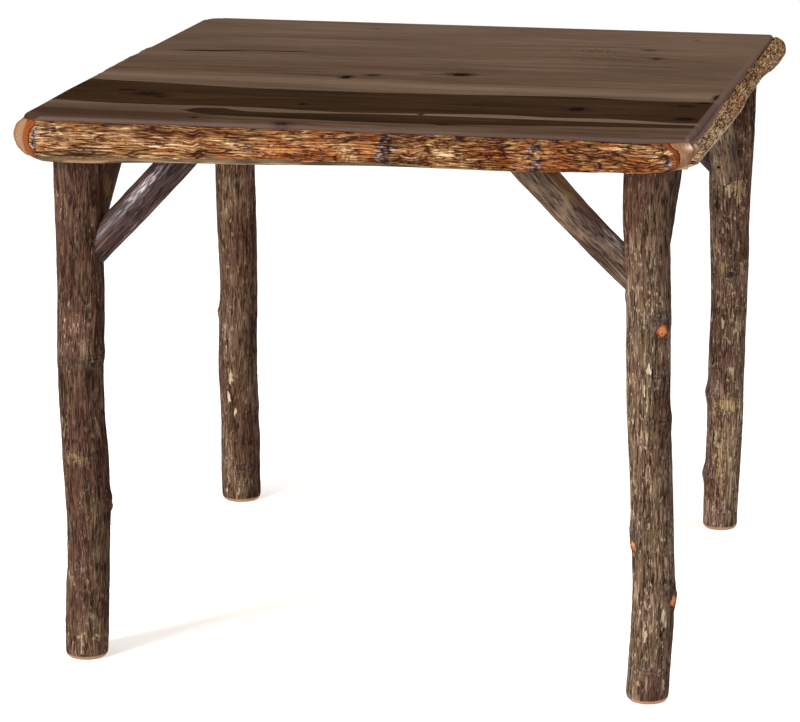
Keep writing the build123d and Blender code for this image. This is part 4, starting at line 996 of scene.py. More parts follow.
def make_plank(index):
    name = "top_plank_%d" % index
    edges = [-HALF] + SEAMS_Y + [HALF]
    y_lo, y_hi = edges[index - 1], edges[index]
    first, last = index == 1, index == 5
    xs = lines_for(-HALF, HALF, 2.9, True, True)
    ys = lines_for(y_lo, y_hi, 2.7, first, last)
    if not first:
        ys = np.concatenate([[y_lo], [y_lo + 0.45], ys[1:]])
    if not last:
        ys = np.concatenate([ys[:-1], [y_hi - 0.45], [y_hi]])
    xx, yy = np.meshgrid(xs, ys, indexing="ij")

    def fillet(d):
        d = np.clip(TOP_ROUND - d, 0, TOP_ROUND)
        return TOP_ROUND - np.sqrt(np.maximum(TOP_ROUND ** 2 - d ** 2, 0))

    # the left edge is rounded over a little wider towards the front corner
    wide_round = np.where(xx < 0, 1 + 1.0 * smooth(-230, -410, yy), 1.0)
    right = np.where(xx > 0, 0.62, 1.0)                 # and tighter along the right edge
    drop_x = fillet((HALF - np.abs(xx)) / wide_round / right) * right
    drop_y = fillet(HALF - np.abs(yy))
    z = HEIGHT - np.maximum(drop_x, drop_y)
    px, py = xx.copy(), yy.copy()
    for (qx, qy), profile in CORNERS.values():
        sx, sy = np.sign(qx), np.sign(qy)
        dx, dy = (xx - qx) * sx, (yy - qy) * sy
        rho = np.hypot(np.maximum(dx, 0), np.maximum(dy, 0))
        pr = sorted((p[1], p[0]) for p in profile if p[0] >= 739)
        radii, heights = [p[0] for p in pr], [p[1] for p in pr]
        furthest = math.hypot(HALF - abs(qx), HALF - abs(qy))
        if furthest > radii[-1]:                        # draw the corner back onto the worked facet
            near = radii[-1] - 8.0
            drawn = np.where(rho > near, near + (rho - near) * 5.0 / (furthest - near), rho)
            share = np.where((dx > 0) & (dy > 0), drawn / np.maximum(rho, 1e-6), 1.0)
            px, py = px * share + qx * (1 - share), py * share + qy * (1 - share)
            rho = drawn
        zc = np.interp(rho, radii, heights, left=HEIGHT, right=heights[-1])
        z = np.where((dx > 0) & (dy > 0), np.minimum(z, zc), z)
    # eased glue lines and a barely uneven hand-finished surface
    for s in SEAMS_Y:
        z = z - 0.10 * (np.abs(yy - s) < 0.2)
    edge_d = np.minimum(HALF - np.abs(xx), HALF - np.abs(yy))
    z = z + 0.07 * gnoise(xx / 120 + 3, yy / 45 + 9, 71) * smooth(4, 20, edge_d)
    knot_sink = np.zeros_like(xx)
    grain = yy.copy()
    for kx, ky, a, b, dark, push in KNOTS:
        ex, ey = (xx - kx) / (a * 5.5), (yy - ky) / (b * 3.8)
        grain = grain - push * 0.8 * np.tanh((yy - ky) / (b * 1.2)) * gauss(ex) * gauss(ey)
        knot_sink = np.maximum(knot_sink, dark * gauss(np.hypot((xx - kx) / a, (yy - ky) / b) * 1.15))
    z = z - 0.30 * knot_sink * (np.abs(yy) < HALF - 3) * (np.abs(xx) < HALF - 3)
    # slow wander of the grain, a different board each time
    grain = grain + 7.0 * gnoise(xx / 310 + index * 3.7, yy / 70 + index, 80 + index) \
        + 2.2 * gnoise(xx / 90 + index, yy / 26 + index * 2.1, 90 + index)
    if index == 5:                                      # cathedral figure towards the back right
        ex, ey = (xx - 215) / 130, (yy - 300) / 90
        grain = grain + 34.0 * gauss(ex) * gauss(ey)
    if index == 4:
        ex, ey = (xx - 205) / 110, (yy - 215) / 60
        grain = grain - 22.0 * gauss(ex) * gauss(ey)

    def band(back, front):
        b = np.interp(xx, [p[0] for p in back], [p[1] for p in back])
        f = np.interp(xx, [p[0] for p in front], [p[1] for p in front])
        return np.minimum(b - yy, yy - f)

    heart1 = band(HEART_1_BACK, HEART_1_FRONT)
    heart2 = np.minimum(band(HEART_2_BACK, HEART_2_FRONT), (xx + 236.0) * 0.30)
    heart = np.clip(np.maximum(heart1, heart2), -40, 40)
    # broad lights and darks across the boards
    tone = 0.10 * gnoise(xx / 260 + 2, yy / 60 + 5, 95) + 0.05 * gnoise(xx / 120, yy / 22, 96)
    tone += 0.26 * gauss((yy + 122 + 0.03 * xx) / 26)                      # light sapwood stripe
    tone += 0.10 * gauss((yy - 76) / 22) * smooth(150, -150, xx)
    tone += 0.11 * gauss((yy + 347 - 0.008 * xx) / 9)                       # light strip between the heartwood bands
    tone -= 0.10 * gauss((yy - 15) / 36)
    tone -= 0.13 * gauss((yy + 60) / 18) * smooth(250, 60, xx)
    tone -= 0.16 * smooth(-325, -350, yy) * smooth(-150, -290, xx)
    tone += 0.13 * smooth(60, 420, yy) - (0.22 + 0.20 * smooth(-100, -300, xx)) * smooth(-372, -415, yy)
    redden = 0.9 * gauss((xx + 60) / 55) * gauss((yy - 15) / 32) + 0.5 * gauss((xx + 340) / 90) * gauss((yy + 12) / 22) \
        + 0.3 * gauss((xx + 380) / 60) * gauss((yy - 330) / 40)
    streak = gauss((yy - 103 - 27 * smooth(-440, -250, xx) - 4 * gnoise(xx / 60, xx * 0, 97)) / (3.2 + 4.0 * gauss((xx + 330) / 60))) \
        * smooth(-120, -210, xx)
    streak = streak * (0.35 + 0.65 * np.maximum(gauss((xx + 345) / 42), 0.8 * gauss((xx + 235) / 34)))
    streak = np.maximum(streak, 0.55 * gauss((yy + 27 - 0.06 * (xx - 60)) / 4.0) * smooth(-30, 20, xx) * smooth(75, 40, xx))
    feather = gauss((xx - 210) / 70) * gauss((yy - 220) / 55) + 0.8 * gauss((xx + 320) / 60) * gauss((yy + 255) / 40)
    z = np.maximum(z, Z_PANEL + 0.8)
    over_edge = np.where(drop_y >= drop_x, z - HEIGHT, 0) * 0.7 * (np.abs(yy) > HALF - TOP_ROUND)
    grain = grain + over_edge                           # the figure is carried down the long edges
    # masks for painted light on the edges: mauve sheen on the long edges and the right end, shade over the round-over
    # of the long edges and the left end
    rim_sheen = 1 - smooth(1.0, 3.6, HALF - np.abs(yy))
    roundover_shade = 1 - smooth(2.0, 9.5, HALF - np.maximum(np.abs(yy), -xx))
    end_edge_sheen = smooth(HALF - 6.4, HALF - 3.6, xx)

    nx, ny = xx.shape
    top = np.stack([px, py, z], -1).reshape(-1, 3)
    ids = np.arange(nx * ny).reshape(nx, ny)
    # the outline, anticlockwise from above, and its copy on the underside
    loop = np.concatenate([ids[:, 0], ids[-1, 1:], ids[-2::-1, -1], ids[0, -2:0:-1]])
    under = top[loop].copy()
    under[:, 2] = Z_PANEL
    base = len(top)
    nb = len(loop)
    quads = np.stack([ids[:-1, :-1], ids[1:, :-1], ids[1:, 1:], ids[:-1, 1:]], -1).reshape(-1, 4)
    k = np.arange(nb)
    k2 = (k + 1) % nb
    walls = np.stack([base + k, base + k2, loop[k2], loop[k]], -1)
    # underside: strips across from one long side to the other, sharing the outline's points
    left_ids = np.zeros(nx, int)
    right_ids = np.zeros(nx, int)
    where = {int(v): base + i for i, v in enumerate(loop)}
    for i in range(nx):
        left_ids[i], right_ids[i] = where[int(ids[i, 0])], where[int(ids[i, -1])]
    strips = [np.stack([left_ids[1:-2], right_ids[1:-2], right_ids[2:-1], left_ids[2:-1]], -1)]
    loops = [quads.ravel(), walls.ravel(), strips[0].ravel()]
    starts = [np.arange(len(quads)) * 4, len(quads) * 4 + np.arange(nb) * 4,
              (len(quads) + nb) * 4 + np.arange(len(strips[0])) * 4]
    pos = (len(quads) + nb + len(strips[0])) * 4
    end_a = [where[int(v)] for v in ids[0, :]]
    end_b = [where[int(v)] for v in ids[-1, :]]
    poly_a = [left_ids[1]] + end_a + [right_ids[1]]
    poly_b = [right_ids[-2]] + end_b[::-1] + [left_ids[-2]]
    loops += [np.array(poly_a), np.array(poly_b)]
    starts += [np.array([pos]), np.array([pos + len(poly_a)])]
    loops, starts = np.concatenate(loops), np.concatenate(starts)
    flat = np.ones(len(starts), bool)
    flat[:len(quads)] = False

    def both(a, fill=None):
        a = np.broadcast_to(a, xx.shape).ravel()
        return np.concatenate([a, a[loop] if fill is None else np.full(nb, fill)])

    attrs = {"grain": both(grain), "heart": both(heart), "tone": both(tone), "redden": both(redden), "streak": both(streak, 0.0),
             "feather": both(feather, 0.0), "rim_sheen": both(rim_sheen, 0.0), "roundover_shade": both(roundover_shade, 1.0), "end_edge_sheen": both(end_edge_sheen)}
    ob = build_mesh(name + "_wood", np.concatenate([top, under]), loops, starts, None, attrs, flat)
    return ob


# ================================================================ materials
FLOOR_GLOW = 0.40


def bark_leg_material():
    m = Mat("leg_bark")
    p = m.pos()
    fine = m.noise(m.scale(p, (760, 760, 84)), 1.0, 3.0, 0.62)
    mid = m.noise(m.scale(p, (300, 300, 24)), 1.0, 3.0, 0.55)
    speck = m.noise(m.scale(p, (620, 620, 210)), 1.0, 2.0, 0.5)
    lines = m.crease(m.noise(m.scale(p, (290, 290, 20)), 1.0, 2.0, 0.45), 0.072)
    lines = m.mul(lines, m.remap(m.noise(m.scale(p, (90, 90, 22)), 1.0, 1.0, 0.5), 0.34, 0.54))
    highlight_lines = m.crease(m.noise(m.scale(p, (200, 200, 26)), 1.3, 2.0, 0.45), 0.055)
    highlight_lines = m.mul(highlight_lines, m.remap(m.noise(m.scale(p, (160, 160, 90)), 1.1, 2.0, 0.6), 0.53, 0.62))
    relief, light = m.attr("relief"), m.attr("light")
    h = m.add(relief, m.mul(m.add(fine, -0.5), 0.56))
    h = m.add(h, m.mul(m.add(mid, -0.5), 0.34))
    # painted light and shade: the light attribute lightens or darkens the bark
    h = m.add(h, m.mul(light, 0.50))
    h = m.add(h, m.mul(lines, -0.30))
    grey = m.ramp(h, [(0.02, (32, 13, 4)), (0.26, (69, 42, 23)), (0.50, (92, 68, 51)), (0.72, (111, 87, 69)), (1.0, (166, 142, 118))])
    red = m.ramp(h, [(0.02, (32, 11, 4)), (0.26, (62, 32, 18)), (0.50, (80, 51, 38)), (0.72, (98, 70, 56)), (1.0, (142, 114, 98))])
    olive = m.ramp(h, [(0.02, (30, 16, 6)), (0.26, (67, 47, 25)), (0.50, (88, 71, 50)), (0.72, (108, 92, 66)), (1.0, (160, 142, 106))])
    tone = m.attr("tone")
    col = m.mix(m.remap(tone, 0.35, 0.85), grey, red)
    moss = m.noise(m.scale(p, (46, 46, 12)), 1.0, 3.0, 0.6)
    col = m.mix(m.mul(m.remap(moss, 0.50, 0.68), 0.55), col, olive)
    tan = m.ramp(h, [(0.05, (44, 26, 13)), (0.30, (92, 68, 42)), (0.55, (134, 108, 72)), (0.9, (190, 164, 120))])
    col = m.mix(m.remap(m.add(m.attr("patch"), m.mul(m.add(fine, -0.5), 0.9)), 0.20, 0.75, 0.0, 0.85), col, tan)
    # furrows, then painted highlights: thin cream highlight lines, stronger on the painted lit side, and glints on the
    # crests
    col = m.mix(m.mul(lines, 0.72), col, lin(28, 14, 8))
    col = m.mix(m.mul(m.math("MULTIPLY", highlight_lines, m.remap(light, -0.34, 0.15, 0.12, 0.95)), 0.85), col, lin(198, 176, 146))
    col = m.mix(m.mul(m.math("MULTIPLY", m.attr("glint"), m.remap(fine, 0.40, 0.58)), 0.52), col, lin(196, 174, 146))
    flake = m.attr("flake")
    col = m.mix(m.mul(m.remap(m.add(flake, m.mul(m.add(fine, -0.5), 0.8)), 0.35, 0.85), 0.55), col, lin(168, 146, 114))
    shade = m.attr("shade")
    smoky = m.ramp(h, [(0.1, (28, 19, 17)), (0.5, (66, 52, 47)), (0.9, (112, 96, 90))])
    col = m.mix(m.mul(shade, 0.8), col, smoky)
    scar = m.attr("scar")
    pale = m.ramp(m.add(mid, m.mul(m.add(fine, -0.5), 0.9)), [(0.3, (112, 92, 66)), (0.5, (170, 154, 122)), (0.7, (198, 186, 158))])
    col = m.mix(m.remap(m.add(scar, m.mul(m.add(fine, -0.5), 0.7)), 0.35, 0.7), col, pale)
    # sawn branch stubs
    cut = m.attr("cut")
    uneven = m.add(cut, m.mul(m.add(speck, -0.5), 0.34))
    stub = m.ramp(m.mul(uneven, 0.5),
                  [(0.0, (70, 36, 20)), (0.05, (206, 160, 116)), (0.11, (166, 106, 66)), (0.16, (216, 170, 128)), (0.23, (172, 100, 56)),
                   (0.29, (206, 132, 80)), (0.36, (190, 88, 34)), (0.45, (176, 72, 25)), (0.52, (66, 30, 20))])
    stub = m.mix(m.remap(m.attr("pith"), 0.35, 0.75), stub, lin(26, 12, 8))
    col = m.mix(m.remap(cut, 1.10, 0.98), col, stub)
    # bare wood of the foot
    bare = m.attr("bare")
    rr = m.attr("ringr")
    growth = m.noise(m.vec(m.mul(rr, 0.55), m.mul(rr, 0.02), 0.0), 1.0, 2.0, 0.5)
    wood = m.ramp(m.add(m.mul(growth, 0.8), m.mul(fine, 0.2)), [(0.30, (150, 108, 82)), (0.5, (188, 148, 120)), (0.7, (206, 172, 146))])
    rimline = m.remap(rr, 24.0, 27.5)
    wood = m.mix(m.mul(rimline, 0.35), wood, lin(160, 108, 86))
    col = m.mix(bare, col, wood)
    rough = m.add(m.remap(h, 0.2, 0.95, 0.66, 0.40), m.mul(m.add(speck, -0.5), 0.18))
    rough = m.math("MAXIMUM", rough, m.mul(bare, 0.6))
    nrm = m.bump(m.add(m.add(m.mul(fine, 0.9), m.mul(speck, 0.3)), m.mul(lines, -0.5)), 0.70, 0.0011)
    return m.finish(Base_Color=col, Roughness=rough, Normal=nrm, Specular_IOR_Level=0.26, Specular_Tint=(1.0, 0.86, 0.74, 1.0),
                    Coat_Weight=0.05, Coat_Roughness=0.28)


def bark_brace_material():
    m = Mat("brace_bark")
    p = m.pos()
    relief, tone, light = m.attr("relief"), m.attr("tone"), m.attr("light")
    ga, gb, ls = m.attr("girth_a"), m.attr("girth_b"), m.attr("lengthwise")
    grain = m.noise(m.vec(m.mul(ga, 0.75), m.mul(gb, 0.75), m.mul(ls, 0.055)), 1.0, 3.0, 0.6)
    streak = m.noise(m.vec(m.mul(ga, 0.34), m.mul(gb, 0.34), m.mul(ls, 0.022)), 1.0, 2.0, 0.5)
    fine = m.noise(m.scale(p, (900, 900, 900)), 1.0, 2.0, 0.6)
    cloud = m.noise(m.scale(p, (30, 30, 30)), 1.0, 3.0, 0.5)
    cracks = m.crease(m.noise(m.vec(m.mul(ga, 0.26), m.mul(gb, 0.26), m.mul(ls, 0.020)), 1.0, 2.0, 0.45), 0.060)
    # painted light and shade: the light attribute lightens or darkens the bark
    h = m.add(m.add(relief, m.mul(m.add(grain, -0.5), 0.60)), m.mul(light, 0.45))
    h = m.add(h, m.mul(cracks, -0.22))
    h = m.add(h, m.mul(m.add(fine, -0.5), 0.14))
    purple = m.ramp(h, [(0.10, (24, 10, 8)), (0.36, (50, 30, 26)), (0.58, (70, 48, 44)), (0.80, (92, 70, 65)), (1.0, (140, 120, 114))])
    greyb = m.ramp(h, [(0.10, (36, 22, 13)), (0.36, (74, 53, 38)), (0.58, (104, 81, 62)), (0.80, (124, 101, 78)), (1.0, (172, 150, 120))])
    col = m.mix(m.remap(m.add(tone, m.mul(m.add(cloud, -0.5), 0.5)), 0.25, 0.75), purple, greyb)
    warm = m.remap(cloud, 0.55, 0.75)
    col = m.mix(m.mul(warm, 0.30), col, lin(92, 52, 38))
    col = m.mix(m.mul(cracks, 0.50), col, lin(26, 12, 9))
    tan = m.remap(m.noise(m.scale(p, (26, 26, 30)), 1.0, 2.0, 0.5, 0.6), 0.60, 0.74)
    col = m.mix(m.mul(m.mul(tan, tone), 0.45), col, lin(142, 122, 88))
    # painted highlights: white-violet streaks where the shine attribute is set
    col = m.mix(m.mul(m.math("MULTIPLY", m.attr("shine"), m.remap(grain, 0.38, 0.60)), 0.9), col, lin(214, 206, 214))
    # painted shade: the nail holes are painted near black
    col = m.mix(m.attr("nail_hole_shade"), col, lin(22, 13, 9))
    rough = m.remap(m.add(h, m.mul(m.add(streak, -0.5), 1.3)), 0.25, 0.95, 0.58, 0.24)
    nrm = m.bump(m.add(m.mul(grain, 0.8), m.mul(fine, 0.25)), 0.40, 0.0009)
    return m.finish(Base_Color=col, Roughness=rough, Normal=nrm, Specular_IOR_Level=0.34, Coat_Weight=0.20, Coat_Roughness=0.16)


def bark_rail_material():
    m = Mat("edge_bark")
    p = m.pos()
    relief, orange, grey = m.attr("relief"), m.attr("orange"), m.attr("grey")
    light, node, band, cut = m.attr("light"), m.attr("node"), m.attr("band"), m.attr("cut")
    along, down = m.attr("lengthwise"), m.attr("sideways")
    fibre = m.noise(m.vec(m.mul(along, 0.075), m.mul(down, 1.05), 4.0), 1.0, 3.0, 0.6)
    broad = m.noise(m.vec(m.mul(along, 0.030), m.mul(down, 0.40), 8.0), 1.0, 2.0, 0.5)
    lines = m.crease(m.noise(m.vec(m.mul(along, 0.024), m.mul(down, 0.29), 6.0), 1.0, 2.0, 0.42), 0.075)
    lines = m.mul(lines, m.remap(m.noise(m.vec(m.mul(along, 0.020), m.mul(down, 0.12), 15.0), 1.0, 1.0, 0.5), 0.36, 0.56))
    # painted highlight streaks: short cream lines on the crests
    highlight_streaks = m.crease(m.noise(m.vec(m.mul(along, 0.036), m.mul(down, 0.31), 21.0), 1.0, 2.0, 0.42), 0.070)
    highlight_streaks = m.mul(highlight_streaks, m.remap(m.add(m.noise(m.vec(m.mul(along, 0.11), m.mul(down, 0.20), 27.0), 1.0, 2.0, 0.5), m.mul(m.attr("cream"), 0.06)), 0.50, 0.60))
    fine = m.noise(m.scale(p, (620, 620, 760)), 1.0, 3.0, 0.6)
    speck = m.noise(m.scale(p, (200, 200, 420)), 1.0, 2.0, 0.5)
    # the light attribute carries tone and painted light and shade
    h = m.add(m.add(relief, m.mul(m.add(fine, -0.5), 0.36)), m.mul(light, 0.5))
    h = m.add(h, m.math("MULTIPLY", m.add(fibre, -0.5), m.add(m.mul(m.attr("cream"), 0.55), 0.80)))
    h = m.add(h, m.mul(m.add(broad, -0.5), 0.36))
    h = m.add(m.add(h, m.mul(lines, -0.38)), m.mul(highlight_streaks, 0.18))
    tan = m.ramp(h, [(0.02, (34, 9, 3)), (0.24, (72, 35, 13)), (0.48, (117, 75, 38)), (0.72, (146, 106, 64)), (1.0, (208, 174, 132))])
    hot = m.ramp(h, [(0.02, (38, 9, 3)), (0.24, (76, 29, 8)), (0.48, (120, 62, 22)), (0.72, (143, 84, 38)), (1.0, (180, 124, 74))])
    cold = m.ramp(h, [(0.02, (24, 12, 5)), (0.24, (50, 31, 15)), (0.48, (86, 61, 35)), (0.72, (112, 87, 55)), (1.0, (176, 152, 108))])
    col = m.mix(m.remap(orange, 0.35, 0.85), tan, hot)
    col = m.mix(m.remap(grey, 0.30, 0.75), col, cold)
    red = m.math("MAXIMUM", m.remap(m.attr("furrow"), 0.25, 0.80), m.mul(lines, 0.95))
    col = m.mix(m.math("MULTIPLY", red, m.add(m.mul(m.attr("cream"), -0.38), 0.88)), col, lin(54, 12, 3))
    # painted highlights: glints and highlight streaks, stronger where the painted light is higher and on the right
    # rail, mixed in as cream
    shine = m.math("MAXIMUM", m.math("MULTIPLY", m.attr("glint"), m.remap(fibre, 0.38, 0.60)), m.mul(highlight_streaks, m.add(m.remap(light, -0.16, 0.14, 0.06, 0.62), m.mul(m.attr("cream"), 0.62))))
    col = m.mix(m.math("MULTIPLY", shine, m.remap(orange, 0.25, 0.85, 0.80, 0.52)), col, lin(212, 186, 152))
    knotty = m.ramp(h, [(0.10, (20, 8, 7)), (0.40, (56, 36, 31)), (0.66, (96, 76, 71)), (0.92, (158, 144, 144))])
    col = m.mix(m.remap(m.add(node, m.mul(m.add(speck, -0.5), 0.6)), 0.30, 0.75), col, knotty)
    # bare lower edge: straw wood with grey green weathered streaks
    sx = m.split(p)
    lengthwise = m.noise(m.scale(p, (18, 18, 520)), 1.0, 3.0, 0.55)
    patch = m.noise(m.scale(p, (16, 16, 120)), 1.0, 2.0, 0.5)
    straw = m.ramp(lengthwise, [(0.30, (108, 80, 54)), (0.50, (156, 125, 92)), (0.70, (182, 153, 118))])
    weather = m.ramp(lengthwise, [(0.30, (60, 44, 32)), (0.55, (98, 80, 60)), (0.75, (128, 108, 80))])
    low = m.mix(m.remap(patch, 0.42, 0.60), straw, weather)
    fringe = m.remap(m.add(m.attr("down"), m.mul(m.add(patch, -0.5), 0.16)), 0.92, 0.82)
    low = m.mix(m.mul(fringe, 0.65), low, lin(74, 55, 45))
    scraped = m.ramp(m.add(m.mul(fine, 0.25), m.mul(lengthwise, 0.75)), [(0.34, (128, 104, 76)), (0.48, (168, 146, 116)), (0.64, (206, 190, 164))])
    low = m.mix(m.mul(m.attr("cream"), 0.85), low, scraped)
    col = m.mix(band, col, low)
    # worked corners: outer bark, orange inner bark, dark cambium line, then ringed sapwood
    wob = m.add(cut, m.mul(m.add(speck, -0.5), 0.10))
    inner = m.ramp(m.add(m.mul(wob, 0.5), m.mul(m.add(fine, -0.5), 0.05)),
                   [(0.02, (58, 22, 10)), (0.075, (60, 22, 9)), (0.105, (122, 60, 22)), (0.26, (130, 68, 26)), (0.42, (112, 50, 17)), (0.46, (60, 20, 10)),
                    (0.50, (84, 36, 22)), (0.56, (150, 108, 82))])
    rings = m.noise(m.vec(m.mul(m.attr("grow"), 0.42), 0.0, m.mul(along, 0.006)), 1.0, 2.0, 0.6)
    sap = m.ramp(m.add(m.mul(rings, 0.72), m.mul(fine, 0.28)),
                 [(0.38, (120, 80, 54)), (0.5, (141, 103, 74)), (0.60, (163, 127, 97))])
    sap = m.mix(m.mul(m.attr("dusk"), 0.36), sap, lin(100, 66, 43))
    worked = m.mix(m.remap(cut, 1.12, 1.22), inner, sap)
    col = m.mix(m.remap(cut, 0.02, 0.12), col, worked)
    tanned = m.math("MULTIPLY", m.remap(m.attr("end"), 9.0, 1.0), m.remap(cut, 1.1, 1.3))
    col = m.mix(m.mul(tanned, 0.45), col, lin(132, 78, 42))
    # painted glare on the corner sapwood
    col = m.mix(m.mul(m.attr("pale"), 0.80), col, lin(222, 200, 182))
    # the strip along the right rail's top: plank stain with a painted mauve sheen
    edge_stain_and_sheen = m.ramp(m.add(m.mul(fine, 0.5), m.mul(speck, 0.5)), [(0.35, (92, 70, 60)), (0.65, (130, 106, 96))])
    col = m.mix(m.attr("stain_and_sheen"), col, edge_stain_and_sheen)
    col = m.mix(m.mul(m.attr("mitre"), 0.75), col, lin(60, 26, 15))
    rough = m.remap(m.add(h, m.mul(m.add(speck, -0.5), 0.6)), 0.3, 1.0, 0.62, 0.26)
    rough = m.math("MAXIMUM", rough, m.mul(band, 0.46))
    bumpy = m.math("MULTIPLY", m.add(m.add(m.mul(fibre, 0.9), m.mul(fine, 0.5)), m.mul(lines, -0.8)), m.remap(cut, 0.30, 0.02, 0.25, 1.0))
    nrm = m.bump(bumpy, 0.6, 0.0010)
    return m.finish(Base_Color=col, Roughness=rough, Normal=nrm, Specular_IOR_Level=0.15, Specular_Tint=(1.0, 0.82, 0.66, 1.0),
                    Coat_Weight=0.035, Coat_Roughness=0.16)


def top_material():
    m = Mat("top_plank")
    p = m.pos()
    x, y, z = m.split(p)
    g = m.attr("grain")                                    # mm across the boards, bent round the knots
    gz = g
    fib = m.noise(m.vec(m.mul(x, 26.0), m.mul(gz, 1.25), 0.0), 1.0, 4.0, 0.62)
    bands = m.noise(m.vec(m.mul(x, 2.6), m.mul(gz, 0.115), 2.0), 1.0, 3.0, 0.5, 0.15)
    late = m.noise(m.vec(m.mul(x, 5.0), m.mul(gz, 0.42), 5.0), 1.0, 2.0, 0.5)
    pore = m.noise(m.vec(m.mul(x, 92.0), m.mul(gz, 2.1), 9.0), 1.0, 2.0, 0.5)
    tone, heart, feather = m.attr("tone"), m.attr("heart"), m.attr("feather")
    v = m.add(m.mul(m.add(bands, -0.5), 0.80), m.mul(m.add(late, -0.5), 0.85))
    v = m.add(v, m.mul(m.add(fib, -0.5), 0.95))
    v = m.add(m.add(v, tone), 0.5)
    quill = m.noise(m.vec(m.mul(x, 190.0), m.mul(m.add(gz, m.mul(x, 260.0)), 0.16), 3.0), 1.0, 3.0, 0.6, 0.4)
    v = m.add(v, m.mul(m.mul(m.add(quill, -0.52), feather), 1.6))
    sap = m.ramp(v, [(0.10, (70, 48, 33)), (0.34, (89, 68, 51)), (0.52, (101, 80, 63)), (0.74, (114, 92, 75)), (1.0, (127, 106, 89))])
    red = m.ramp(v, [(0.10, (68, 38, 26)), (0.5, (100, 68, 52)), (0.9, (116, 86, 69))])
    col = m.mix(m.mul(m.attr("redden"), 0.55), sap, red)
    dark = m.ramp(v, [(0.10, (32, 16, 7)), (0.36, (49, 30, 13)), (0.55, (60, 40, 18)), (0.8, (74, 52, 27)), (1.0, (88, 65, 38))])
    ragged = m.add(heart, m.mul(m.add(m.noise(m.vec(m.mul(x, 30.0), m.mul(gz, 0.5), 1.0), 1.0, 3.0, 0.6), -0.5), 5.0))
    isheart = m.remap(ragged, -1.6, 1.6)
    col = m.mix(isheart, col, dark)
    # the heartwood's darkest rim, and the dark streaks
    rimdark = m.mul(m.remap(ragged, -1.0, 1.0), m.remap(ragged, 7.0, 1.5))
    col = m.mix(m.mul(rimdark, 0.35), col, lin(44, 26, 12))
    streak = m.attr("streak")
    col = m.mix(m.mul(m.remap(m.add(streak, m.mul(m.add(fib, -0.5), 0.4)), 0.20, 0.55), 0.95), col, lin(42, 23, 13))
    # open pores: short dark dashes
    col = m.mix(m.mul(m.remap(pore, 0.60, 0.70), 0.30), col, lin(52, 34, 22))
    px, py = m.mul(x, 1000.0), m.mul(y, 1000.0)
    holes = None
    for kx, ky, a, b, darkness, push in KNOTS:
        dx = m.mul(m.add(px, -kx), 1.0 / a)
        dy = m.mul(m.add(py, -ky), 1.0 / b)
        n = m.nt.nodes.new("ShaderNodeVectorMath")
        n.operation = "LENGTH"
        m.put(n.inputs[0], m.vec(dx, dy, 0.0))
        d = m.add(n.outputs["Value"], m.mul(m.add(quill, -0.5), 0.9))
        core = m.mul(m.remap(d, 1.10, 0.86), darkness)
        halo = m.mul(m.remap(d, 2.5, 1.0), 0.72 * darkness)
        col = m.mix(halo, col, lin(54, 27, 13))
        col = m.mix(core, col, lin(19, 8, 4))
        holes = core if holes is None else m.math("MAXIMUM", holes, core)
    # painted shade darkens the round-over of the long edges and the left end, where it faces the lights more; a painted
    # mauve sheen lightens the right end's edge and the outermost millimetres of the long edges
    col = m.mix(m.mul(m.attr("roundover_shade"), 0.26), col, lin(22, 15, 11))
    col = m.mix(m.mul(m.attr("end_edge_sheen"), 0.70), col, lin(112, 88, 78))
    col = m.mix(m.mul(m.attr("rim_sheen"), 0.55), col, lin(94, 76, 70))
    # unfinished underside, away from the stain
    under = m.remap(z, 0.7440, 0.7405)
    raw = m.ramp(v, [(0.1, (140, 106, 72)), (0.5, (176, 140, 100)), (0.9, (198, 166, 126))])
    raw = m.mix(isheart, raw, lin(126, 88, 56))
    col = m.mix(under, col, raw)
    rough = m.add(m.remap(fib, 0.3, 0.7, 0.40, 0.50), m.mul(holes, 0.2))
    rough = m.math("MAXIMUM", rough, m.mul(under, 0.7))
    hgt = m.add(m.mul(fib, 0.5), m.mul(m.remap(pore, 0.60, 0.70), -0.8))
    nrm = m.bump(hgt, 0.16, 0.0005)
    return m.finish(Base_Color=col, Roughness=rough, Normal=nrm, Specular_IOR_Level=0.09)


